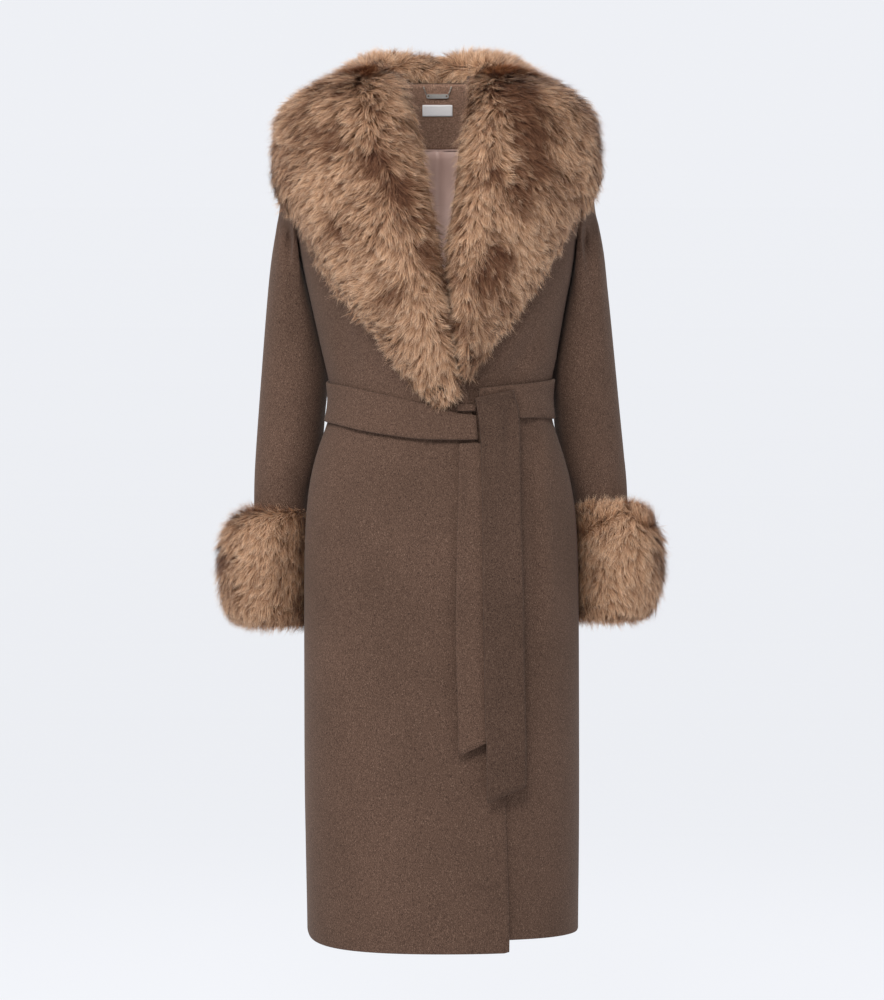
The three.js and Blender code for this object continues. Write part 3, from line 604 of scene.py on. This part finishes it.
def label_material():
    material, tree, shader = plain_material("woven_label", roughness=0.75)
    threads = use_group(tree, THREADS, Thread_Scale=2200.0).outputs["Threads"]
    colour = ramp(tree, threads, LABEL_SHADES)
    tree.links.new(colour, shader.inputs["Base Color"])
    bump(tree, shader, threads, strength=0.3, distance=0.0003)
    return material


def metal_material():
    material, tree, shader = plain_material("brushed_metal", roughness=0.3)
    shader.inputs["Metallic"].default_value = 1.0
    place = add(tree, "ShaderNodeTexCoord").outputs["Object"]
    grain = noise(tree, place, scale=900.0, detail=3.0, roughness=0.6)
    colour = ramp(tree, grain, METAL_SHADES)
    tree.links.new(colour, shader.inputs["Base Color"])
    bump(tree, shader, grain, strength=0.1, distance=0.0002)
    return material


METAL = metal_material()
SATIN = satin_material()
print("inside:", SATIN.name, METAL.name)

# %% [markdown]
# A chain link is an oval ring of wire, and each link stands across the one before.
# The roll along the facing is a tube too, so one helper bends a tube along any list of points. The chains
# run where the solid bars do, and the roll follows the lower edge of the facing's own mesh.

# %% Inside the neck
PIPING = {"radius": 0.0009, "sides": 8, "edge_band": 0.003, "column": 0.004}
LINK = {"long": 0.0034, "wide": 0.0024, "wire": 0.0005, "turns": 16, "sides": 6}
LINKS = 5
CHAIN_END = 0.0012
ASKEW = np.array([0.21, 0.34, 0.92])


def paint_node(node, material):
    mesh = bpy.data.objects[node].data
    mesh.materials.clear()
    mesh.materials.append(material)


def ring_tube(path, radius, sides, closed):
    """Points and faces of a tube along a list of points. No stretch of it may run along ASKEW."""
    path = np.array(path)
    step = np.roll(path, -1, axis=0) - np.roll(path, 1, axis=0)
    if not closed:
        step[0] = path[1] - path[0]
        step[-1] = path[-1] - path[-2]
    forward = unit(step)
    side = unit(np.cross(forward, ASKEW))
    up = np.cross(side, forward)
    turns = np.arange(sides) * 2 * math.pi / sides
    ring = np.cos(turns)[None, :, None] * side[:, None] + np.sin(turns)[None, :, None] * up[:, None]
    points = (path[:, None] + radius * ring).reshape(-1, 3)
    rows = len(path)
    last = rows if closed else rows - 1
    faces = []
    for row in range(last):
        for turn in range(sides):
            here, after = row * sides, ((row + 1) % rows) * sides
            faces.append((here + turn, here + (turn + 1) % sides, after + (turn + 1) % sides, after + turn))
    return points, faces


def unit(vectors):
    return vectors / np.maximum(np.linalg.norm(vectors, axis=-1, keepdims=True), 1e-9)


def link_path(middle, along, across):
    """One link of a chain: an oval ring of wire."""
    reach = LINK["long"] / 2 - LINK["wire"]
    half = LINK["wide"] / 2 - LINK["wire"]
    turns = np.arange(LINK["turns"]) * 2 * math.pi / LINK["turns"]
    return [middle + along * reach * math.cos(turn) + across * half * math.sin(turn) for turn in turns]


def new_piece(name, points, faces, material):
    mesh = bpy.data.meshes.new(name)
    mesh.from_pydata([tuple(point) for point in points], [], faces)
    mesh.materials.append(material)
    piece = bpy.data.objects.new(name, mesh)
    bpy.context.scene.collection.objects.link(piece)
    shade_smooth(piece)
    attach(piece, BODY)
    return piece


def chain_ends(node):
    points = read_points(bpy.data.objects[node].data)
    high = points[points[:, 2] > points[:, 2].max() - CHAIN_END].mean(axis=0)
    low = points[points[:, 2] < points[:, 2].min() + CHAIN_END].mean(axis=0)
    return high, low


def make_chain(node):
    high, low = chain_ends(node)
    along = unit(low - high)
    flat = unit(np.cross(along, np.array([0.0, 1.0, 0.0])))
    deep = np.cross(along, flat)
    points, faces = [], []
    for order in range(LINKS):
        middle = high + (low - high) * (order + 0.5) / LINKS
        across = flat if order % 2 == 0 else deep
        ring, quads = ring_tube(link_path(middle, along, across), LINK["wire"], LINK["sides"], closed=True)
        first = len(points)
        points.extend(ring)
        faces.extend([tuple(first + corner for corner in quad) for quad in quads])
    chain = new_piece(node + "_links", points, faces, METAL)
    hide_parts(node)
    return chain


def make_piping():
    points = read_points(bpy.data.objects["facing_back"].data)
    low = points[points[:, 2] < points[:, 2].min() + PIPING["edge_band"]]
    places = np.unique(np.round(low, 5), axis=0)
    columns = {}
    for place in places:
        columns.setdefault(round(place[0] / PIPING["column"]), []).append(place)
    edge = [min(column, key=lambda place: place[1]) for _, column in sorted(columns.items())]
    path = [place + np.array([0, -PIPING["radius"], 0]) for place in edge]
    tube, faces = ring_tube(path, PIPING["radius"], PIPING["sides"], closed=False)
    piping = new_piece("facing_piping", tube, faces, SATIN)
    return piping


def make_inside():
    # The facing carries the wool brightened as painted light.
    facing = cloth_copy("facing_back", "neck_facing", levels=1, material=FACING_WOOL_PAINTED_LIGHT)
    lining = cloth_copy("lining_back", "back_lining", levels=1, material=SATIN)
    label = cloth_copy("label", "neck_label", levels=2, material=label_material())
    paint_node("hanger_plate", METAL)
    return facing, lining, label


inside_pieces = make_inside()
trim = [make_chain("hanger_chain_right"), make_chain("hanger_chain_left"), make_piping()]
print([piece.name for piece in inside_pieces], [piece.name for piece in trim])

# %% [markdown]
# A sewn coat starts as flat cloth. Each piece is stated here with the size it is cut to before sewing,
# so that anyone who swaps the cloth knows how much of it there is. A sleeve is stated all round.

# %% The flat cut
CUTS = [
    ("coat_back", 0.52, 1.13, 0.50, "hung", "wool"),
    ("coat_front_right", 0.36, 1.16, 0.31, "hung", "wool"),
    ("coat_front_left", 0.35, 1.14, 0.30, "hung", "wool"),
    ("sleeve_left_cloth", 0.42, 0.66, 0.16, "hung", "wool"),
    ("sleeve_right_cloth", 0.42, 0.66, 0.16, "hung", "wool"),
    ("belt_band", 0.052, 0.85, 0.042, "draped", "wool"),
    ("belt_strip", 0.0105, 0.025, None, "folded", "wool"),
    ("belt_end_front", 0.053, 0.60, 0.028, "hung", "wool"),
    ("belt_end_behind", 0.053, 0.42, 0.021, "hung", "wool"),
    ("neck_facing", 0.16, 0.086, 0.012, "laid", "wool"),
    ("back_lining", 0.21, 0.226, 0.044, "laid", "lining"),
    ("neck_label", 0.041, 0.016, None, "laid", "label"),
]


cut_area = sum(area or wide * long for _, wide, long, area, _, _ in CUTS)
print(len(CUTS), "cloth pieces, in all", round(cut_area, 2), "square metres")

# %% [markdown]
# The fur is the coat's showpiece. Real fur is a dense short underfur with longer guard hairs over it,
# and the hairs gather into small wisps. Hair curves would be quickest, but the finished coat is all meshes,
# so each hair here is a narrow tapering ribbon, and arrays make tens of thousands of them at once.
# Every hair starts well inside the solid and comes out at a slant, so that the fur has depth and dark roots,
# and it reaches about as far as the solid does.

# %% Points to grow from
SKIN_DEPTH = 0.013
BACK_TURNED = -0.35
RAY_START = 1e-4
RAY_REACH = 0.1
ROOM_IF_MISSED = 0.02


def smooth_tree(node):
    mesh = bpy.data.objects[node].data
    work = bmesh.new()
    work.from_mesh(mesh)
    bmesh.ops.remove_doubles(work, verts=work.verts, dist=WELD)
    bmesh.ops.triangulate(work, faces=work.faces)
    work.normal_update()
    tree = BVHTree.FromBMesh(work)
    points = np.array([vertex.co[:] for vertex in work.verts])
    normals = np.array([vertex.normal[:] for vertex in work.verts])
    faces = np.array([[vertex.index for vertex in face.verts] for face in work.faces])
    work.free()
    return points, normals, faces, tree


def scatter(points, normals, faces, count, outward_at):
    corners = points[faces]
    cross = np.cross(corners[:, 1] - corners[:, 0], corners[:, 2] - corners[:, 0])
    area = np.linalg.norm(cross, axis=1) / 2
    centre = corners.mean(axis=1)
    flat = cross / np.maximum(np.linalg.norm(cross, axis=1), 1e-12)[:, None]
    seen = (flat * outward_at(centre)).sum(axis=1) > BACK_TURNED
    weight = np.where(seen, area, 0)
    chosen = rng.choice(len(faces), count, p=weight / weight.sum())
    mix = rng.random((count, 2))
    over = mix.sum(axis=1) > 1
    mix[over] = 1 - mix[over]
    share = np.stack([1 - mix.sum(axis=1), mix[:, 0], mix[:, 1]], axis=1)
    places = (corners[chosen] * share[:, :, None]).sum(axis=1)
    ups = (normals[faces[chosen]] * share[:, :, None]).sum(axis=1)
    return places, unit(ups)


def room_inside(tree, places, ups):
    depths = np.empty(len(places))
    for index, (place, up) in enumerate(zip(places, ups)):
        inward = Vector(-up)
        hit = tree.ray_cast(Vector(place) + inward * RAY_START, inward, RAY_REACH)
        depths[index] = hit[3] if hit[0] is not None else ROOM_IF_MISSED
    return depths


print("hair roots are set up to", round(SKIN_DEPTH / MM), "mm inside the solid")

# %% [markdown]
# Fur is combed by the way the pelt is laid. On each half of the collar it parts along a line from the
# neck towards the tip, and falls away from that parting and down. Along the top edge it stands up instead,
# and beside the centre back seam it leans across and hides the seam. On the cuffs it falls to the hand below
# a soft, wavy parting near the top and stands up above it, and each cuff leans its own way. A slow swirl
# turns the hair this way and that, because no real pelt lies straight.

# %% The lie of the fur
COLLAR_MIDDLE = np.array([-0.006, 0.0, -0.25])
RIGHT_PARTING = np.array([
    (-0.006, 0.10, 0.045), (-0.062, 0.075, 0.045), (-0.096, 0.02, 0.035), (-0.100, -0.06, -0.02),
    (-0.089, -0.12, -0.10), (-0.072, -0.15, -0.16), (-0.046, -0.16, -0.22), (-0.012, -0.16, -0.34),
])
LEFT_PARTING = np.array([
    (-0.006, 0.10, 0.045), (0.050, 0.075, 0.045), (0.078, 0.02, 0.035), (0.066, -0.06, -0.02),
    (0.056, -0.12, -0.09), (0.050, -0.15, -0.16), (0.040, -0.16, -0.24), (0.030, -0.15, -0.33),
])
COLLAR_COMB = {
    "collar_right": {"line": RIGHT_PARTING, "spread": 1.15, "fall": 0.8},
    "collar_left": {"line": LEFT_PARTING, "spread": 0.75, "fall": 1.0},
}
PARTING_REACH = 0.03
TOP_STANDS = {"from": 0.010, "over": 0.022, "up": 0.9, "seam": 0.014, "across": 1.4}
CUFF_AXIS = {"cuff_right": (-0.234, 0.052), "cuff_left": (0.234, 0.052)}
CUFF_PARTING = {"cuff_right": 0.004, "cuff_left": 0.026}
CUFF_LEAN = {"cuff_right": -0.35, "cuff_left": 0.10}
CUFF_WAVE = {"cuff_right": 0.004, "cuff_left": 0.010}
CUFF_COMB = {"over": 0.011, "rate": 0.9, "fall": 0.1, "down": -1.0, "up": 0.8, "out": 0.45}
WAVES_OF_A_SIZE = 4
SWIRL_SIZES = ((0.10, 1.0), (0.05, 0.8))
SWIRL_TURN = 0.42


def collar_outward(places):
    return unit(places - COLLAR_MIDDLE)


def cuff_outward(node):
    axis = np.array(CUFF_AXIS[node])

    def outward(places):
        away = np.zeros_like(places)
        away[:, :2] = unit(places[:, :2] - axis)
        return away
    return outward


def from_line(places, line):
    best = np.full(len(places), np.inf)
    away = np.zeros_like(places)
    for start, end in zip(line[:-1], line[1:]):
        span = end - start
        along = np.clip(((places - start) @ span) / (span @ span), 0, 1)
        offset = places - (start + along[:, None] * span)
        distance = np.linalg.norm(offset, axis=1)
        closer = distance < best
        best[closer] = distance[closer]
        away[closer] = offset[closer]
    return away, best


def collar_comb(line, spread, fall):
    def comb(places):
        away, distance = from_line(places, line)
        reach = np.clip(distance / PARTING_REACH, 0, 1)[:, None]
        near_top = np.clip((places[:, 2] - TOP_STANDS["from"]) / TOP_STANDS["over"], 0, 1)[:, None]
        upright = (fall + TOP_STANDS["up"]) * near_top - fall
        beside = (places[:, :1] - COLLAR_MIDDLE[0]) / TOP_STANDS["seam"]
        closing = -np.sign(beside) * np.exp(-(beside**2)) * near_top
        way = spread * unit(away) * reach + upright * np.array([0.0, 0.0, 1.0])
        return way + TOP_STANDS["across"] * closing * np.array([1.0, 0.0, 0.0])
    return comb


def cuff_comb(node):
    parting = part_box(node)[1][2] - CUFF_PARTING[node]
    outward = cuff_outward(node)

    def comb(places):
        wave = CUFF_WAVE[node] * slow_waves(places, seed=23, sizes=SWIRL_SIZES)
        above = (places[:, 2] - parting + wave) / CUFF_COMB["over"]
        upright = CUFF_COMB["rate"] * above - CUFF_COMB["fall"]
        way = outward(places) * CUFF_COMB["out"]
        way[:, 0] += CUFF_LEAN[node]
        way[:, 2] += np.clip(upright, CUFF_COMB["down"], CUFF_COMB["up"])
        return way
    return comb


def slow_waves(places, seed, sizes):
    waves = np.random.default_rng(seed)
    total = np.zeros(len(places))
    for size, strength in sizes:
        for _ in range(WAVES_OF_A_SIZE):
            way = unit(waves.normal(size=3))
            total += strength * np.sin(places @ way * 2 * math.pi / size + waves.uniform(0, 2 * math.pi))
    return total / (2 * sum(strength for _, strength in sizes))


def laid_along(ways, ups):
    flat = ways - (ways * ups).sum(axis=1, keepdims=True) * ups
    return unit(flat)


def turned(ways, ups, angles):
    across = np.cross(ups, ways)
    return ways * np.cos(angles)[:, None] + across * np.sin(angles)[:, None]


print("partings:", len(RIGHT_PARTING), "points on the right half,", len(LEFT_PARTING), "on the left")

# %% [markdown]
# The pelt isn't even in colour. Slow clouds of darker and paler fur run over it, and some patches are
# clearly browner: along the parting, where the roots show, and in blotches down each half. Each patch is
# a row in millimetres: its middle seen from the front, its radius and how dark it is, with less than nothing
# for a paler one. At the back of the coat the same patches show more weakly.

# %% Dark and pale patches
CLOUD_SIZES = ((0.11, 1.0), (0.055, 0.8), (0.028, 0.7))
CLOUD_TONE = 1.2
PATCH_TONE = 1.45
PATCH_TONE_BEHIND = 0.6
BEHIND_FROM = 0.05
FUR_PATCHES = {
    "collar_right": [
        (-89, -116, 17, 1.9), (-57, -152, 17, 1.9), (-44, -184, 16, 1.9), (-121, -196, 24, 1.5),
        (-133, -95, 22, 1.1), (-23, -232, 16, 1.5), (5, -322, 14, 0.9), (-95, -30, 20, 0.9),
        (-64, -290, 18, 1.0), (-150, -150, 24, -0.7), (-40, -345, 30, -0.8), (-8, -385, 30, -0.9),
        (-60, -50, 22, -0.5), (-34, 42, 34, -2.8),
    ],
    "collar_left": [
        (96, -24, 22, 1.7), (106, -70, 26, 2.1), (112, -112, 26, 2.1), (96, -150, 24, 1.9),
        (60, -124, 14, 1.2), (72, -226, 20, 1.5), (56, -262, 20, 1.5), (26, -320, 16, 1.0),
        (128, -50, 18, 0.9), (50, -40, 18, 0.6), (30, 42, 34, -2.8), (80, 36, 26, -0.9),
        (150, -100, 16, -0.8), (40, -190, 20, -0.6), (120, -230, 22, -0.7),
    ],
    "cuff_right": [
        (-288, -616, 18, 1.7), (-268, -656, 14, 1.3), (-203, -692, 15, 1.3), (-240, -596, 26, -0.7),
    ],
    "cuff_left": [
        (290, -630, 17, 1.4), (190, -634, 16, 1.2), (218, -579, 9, 1.6), (245, -600, 26, -0.7),
    ],
}
BASE_TONE = {"collar_right": 0.45, "collar_left": 0.45, "cuff_right": 0.7, "cuff_left": 1.4}


def patch_tone(places, node):
    tone = np.full(len(places), BASE_TONE[node])
    strength = np.where(places[:, 1] < BEHIND_FROM, PATCH_TONE, PATCH_TONE_BEHIND)
    for x, z, radius, dark in FUR_PATCHES[node]:
        away = np.hypot(places[:, 0] - x * MM, places[:, 2] - z * MM) / (radius * MM)
        tone -= strength * dark * np.exp(-away**2)
    return tone + CLOUD_TONE * slow_waves(places, seed=5, sizes=CLOUD_SIZES)


print("patches:", {node: len(rows) for node, rows in FUR_PATCHES.items()})

# %% [markdown]
# Each hair follows its wisp. Thousands of wisp centres are picked from the hair roots. Each wisp has its own
# length, lean and tone, and its dozen hairs or so bend a little towards one tip. A stray hair turns further
# from its wisp, stands up more and hardly bends towards the tip.

# %% Growing the hairs
WISP = {"length": (0.7, 1.3), "lift": (-0.3, 1.0), "turn": 0.30, "tone": 0.75, "pull": 0.42}
HAIR = {"length": (0.8, 1.15), "lift": 0.0012, "turn": 0.13, "tone": 0.38}
STRAY = {"share": 0.13, "lift": 0.005, "turn": 0.5, "pull": 0.05}
FEWEST_WISPS = 8
OWN_RISE = 0.45
WISP_RISE = 0.55
ROOT_ROOM = 0.6
SET_BACK = 0.48
BEND = 1.5


def nearest_wisp(places, centres):
    tree = KDTree(len(centres))
    for index, centre in enumerate(centres):
        tree.insert(centre, index)
    tree.balance()
    return np.array([tree.find(place)[1] for place in places])


def hair_lines(node, count, per_wisp, length, stations, rise, outward, comb):
    points, normals, faces, tree = smooth_tree(node)
    places, ups = scatter(points, normals, faces, count, outward)
    room = room_inside(tree, places, ups)
    swirl = SWIRL_TURN * slow_waves(places, seed=17, sizes=SWIRL_SIZES)
    ways = turned(laid_along(comb(places), ups), ups, swirl)
    wisps = max(FEWEST_WISPS, count // per_wisp)
    own = rng.choice(count, wisps, replace=False)
    wisp = nearest_wisp(places, places[own])
    wisp_length = rng.uniform(*WISP["length"], wisps)
    wisp_lift = rng.uniform(*WISP["lift"], wisps)
    stray = rng.random(count) < STRAY["share"]
    own_turn = rng.normal(0, np.where(stray, STRAY["turn"], HAIR["turn"]))
    ways = turned(ways, ups, rng.normal(0, WISP["turn"], wisps)[wisp] + own_turn)
    reach = length * wisp_length[wisp] * rng.uniform(*HAIR["length"], count)
    top = rise * (OWN_RISE + WISP_RISE * wisp_lift[wisp]) + rng.normal(0, HAIR["lift"], count)
    top += np.where(stray, STRAY["lift"] * rng.random(count), 0)
    sink = np.minimum(SKIN_DEPTH, ROOT_ROOM * room)
    pull = np.where(stray, STRAY["pull"], WISP["pull"])
    tip_run = (length * wisp_length * (1 - SET_BACK))[:, None]
    tips = places[own] + ways[own] * tip_run + ups[own] * (rise * wisp_lift)[:, None]
    lines = root_to_tip(places, ways, ups, reach, sink, top, pull, tips[wisp], stations)
    wisp_tone = rng.normal(0, WISP["tone"], wisps)[wisp]
    tone = patch_tone(places, node) + wisp_tone + rng.normal(0, HAIR["tone"], count)
    return lines, ways, ups, tone


def root_to_tip(places, ways, ups, reach, sink, top, pull, tips, stations):
    """The points of each hair: it rises from its root and bends towards the tip of its wisp."""
    lines = np.empty((len(places), stations, 3))
    for step in range(stations):
        share = step / (stations - 1)
        lift = -sink * (1 - share) ** BEND + top * share
        line = places + ways * (reach * (share - SET_BACK))[:, None] + ups * lift[:, None]
        bend = pull[:, None] * share**BEND
        lines[:, step] = line * (1 - bend) + tips * bend
    return lines


print("stray hairs:", round(100 * STRAY["share"]), "in a hundred")

# %% [markdown]
# Each hair becomes a ribbon that narrows to a point. A round tube would need many more faces, and at this
# width nobody would see them. The normals follow the pelt with a little spread, not the flat ribbons, so that
# the fur takes the light as one soft body.

# %% Hairs as ribbons
TAPER = 0.45
NORMAL_SPREAD = 0.28
MIDDLE_TONE = 0.5
TONE_STEP = 0.2


def ribbon_mesh(name, lines, ways, ups, tone, width):
    count, stations, _ = lines.shape
    across = unit(np.cross(ways, ups))
    pairs = stations - 1
    per_hair = 2 * pairs + 1
    shares = np.linspace(0, 1, stations)
    points = np.empty((count, per_hair, 3))
    for step in range(pairs):
        half = across * width * 0.5 * (1 - TAPER * shares[step])
        points[:, 2 * step] = lines[:, step] - half
        points[:, 2 * step + 1] = lines[:, step] + half
    points[:, -1] = lines[:, -1]
    first = (np.arange(count) * per_hair)[:, None]
    quads = [first + np.array([2 * s, 2 * s + 1, 2 * s + 3, 2 * s + 2]) for s in range(pairs - 1)]
    tips = first + np.array([2 * pairs - 2, 2 * pairs - 1, 2 * pairs])
    loops = np.concatenate([*quads, tips], axis=1).ravel()
    sizes = np.tile([4] * (pairs - 1) + [3], count)
    mesh = bpy.data.meshes.new(name)
    mesh.vertices.add(count * per_hair)
    mesh.vertices.foreach_set("co", points.ravel())
    mesh.loops.add(len(loops))
    mesh.loops.foreach_set("vertex_index", loops.astype(np.int32))
    mesh.polygons.add(len(sizes))
    mesh.polygons.foreach_set("loop_start", np.concatenate([[0], np.cumsum(sizes)[:-1]]).astype(np.int32))
    mesh.update(calc_edges=True)
    mesh.validate()
    shade(mesh, per_hair, shares, tone, ups, count)
    return mesh


def shade(mesh, per_hair, shares, tone, ups, count):
    along = np.append(np.repeat(shares[:-1], 2), 1.0)
    colour = np.ones((count, per_hair, 4))
    colour[:, :, 0] = along
    colour[:, :, 1] = np.clip(MIDDLE_TONE + TONE_STEP * tone, 0, 1)[:, None]
    colour[:, :, 2] = rng.random(count)[:, None]
    layer = mesh.color_attributes.new("hair", "FLOAT_COLOR", "POINT")
    layer.data.foreach_set("color", colour.ravel())
    mesh.polygons.foreach_set("use_smooth", [True] * len(mesh.polygons))
    lean = unit(ups + rng.normal(0, NORMAL_SPREAD, ups.shape))
    mesh.normals_split_custom_set_from_vertices(np.repeat(lean, per_hair, axis=0))


print("halfway along, a ribbon is", round(100 * (1 - TAPER / 2)), "in a hundred of its width at the root")

# %% [markdown]
# Fur colour runs along each hair, from a dark root through warm tan to a pale tip. Whole patches are browner,
# and so are some wisps. Each hair carries three values for this, one in each channel of a colour: how far
# along the hair a point lies, the tone of its patch and wisp, and a small difference of its own.

# %% The fur finish
PALE_HAIR = [
    (0.0, (0.078, 0.034, 0.017)), (0.42, (0.33, 0.158, 0.080)),
    (0.74, (0.69, 0.410, 0.240)), (1.0, (0.97, 0.725, 0.525)),
]
BROWN_HAIR = [
    (0.0, (0.026, 0.010, 0.005)), (0.45, (0.085, 0.031, 0.015)),
    (0.75, (0.180, 0.076, 0.038)), (1.0, (0.34, 0.170, 0.094)),
]
BROWN_TO_PALE = [(0.28, (0, 0, 0)), (0.66, (1, 1, 1))]
SINGLE_HAIR = [(0.0, (0.78, 0.76, 0.74)), (1.0, (1.15, 1.15, 1.15))]
SKIN_SHADES = [(0.3, (0.085, 0.043, 0.024)), (0.7, (0.19, 0.103, 0.060))]


def fur_material():
    material, tree, shader = plain_material("tan_fur", roughness=0.65)
    carried = add(tree, "ShaderNodeVertexColor", layer_name="hair")
    parts = tree.nodes.new("ShaderNodeSeparateColor")
    tree.links.new(carried.outputs["Color"], parts.inputs["Color"])
    pale = ramp(tree, parts.outputs["Red"], PALE_HAIR)
    brown = ramp(tree, parts.outputs["Red"], BROWN_HAIR)
    choose = ramp(tree, parts.outputs["Green"], BROWN_TO_PALE)
    blend = tree.nodes.new("ShaderNodeMix")
    blend.data_type = "RGBA"
    tree.links.new(choose, blend.inputs["Factor"])
    tree.links.new(brown, blend.inputs["A"])
    tree.links.new(pale, blend.inputs["B"])
    single = ramp(tree, parts.outputs["Blue"], SINGLE_HAIR)
    tree.links.new(multiply_colours(tree, blend.outputs["Result"], single), shader.inputs["Base Color"])
    shader.inputs["Specular IOR Level"].default_value = 0.2
    shader.inputs["Sheen Weight"].default_value = 0.05
    shader.inputs["Sheen Roughness"].default_value = 0.4
    return material


def skin_material():
    material, tree, shader = plain_material("fur_skin", roughness=0.95)
    place = add(tree, "ShaderNodeTexCoord").outputs["Object"]
    soft = noise(tree, place, scale=260.0, detail=3.0, roughness=0.6)
    colour = ramp(tree, soft, SKIN_SHADES)
    tree.links.new(colour, shader.inputs["Base Color"])
    bump(tree, shader, soft, strength=0.6, distance=0.002)
    return material


FUR = fur_material()
SKIN = skin_material()
print("fur:", FUR.name, SKIN.name)

# %% [markdown]
# Under the hairs lies the pelt's own skin. It is the solid's face, drawn in by the depth of the fur where
# the solid has room for that, so the hairs stand on something dark and nothing shows through them.

# %% Fur pieces
SKIN_ROOM = 0.45


def fur_skin(node):
    points, normals, faces, tree = smooth_tree(node)
    outward = cuff_outward(node) if node in CUFF_AXIS else collar_outward
    room = room_inside(tree, points, normals)
    facing = (normals * outward(points)).sum(axis=1) > BACK_TURNED
    sink = np.where(facing, np.minimum(SKIN_DEPTH, SKIN_ROOM * room), 0)
    piece = new_piece(node + "_skin", points - normals * sink[:, None], faces.tolist(), SKIN)
    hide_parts(node)
    return piece


def fur_coat(node, name, count, per_wisp, length, stations, rise, width, outward, comb):
    lines, ways, ups, tone = hair_lines(node, count, per_wisp, length, stations, rise, outward, comb)
    mesh = ribbon_mesh(name, lines, ways, ups, tone, width)
    mesh.materials.append(FUR)
    piece = bpy.data.objects.new(name, mesh)
    bpy.context.scene.collection.objects.link(piece)
    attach(piece, BODY)
    return piece


SHORT = {"per_wisp": 14, "length": 0.026, "stations": 3, "rise": 0.0035, "width": 0.00085}
LONG = {"per_wisp": 11, "length": 0.034, "stations": 3, "rise": 0.0085, "width": 0.00048}
HAIRS = {"collar": (44000, 47000), "cuff": (17000, 21000)}


def make_fur_on(node, kind, outward, comb):
    short, long = HAIRS[kind]
    return [
        fur_skin(node),
        fur_coat(node, node + "_underfur", short, **SHORT, outward=outward, comb=comb),
        fur_coat(node, node + "_guard_hair", long, **LONG, outward=outward, comb=comb),
    ]


def make_fur():
    made = []
    for node, laid in COLLAR_COMB.items():
        made += make_fur_on(node, "collar", collar_outward, collar_comb(**laid))
    for node in CUFF_AXIS:
        made += make_fur_on(node, "cuff", cuff_outward(node), cuff_comb(node))
    return made


fur_pieces = make_fur()
for piece in fur_pieces:
    print(piece.name, len(piece.data.polygons), "faces")
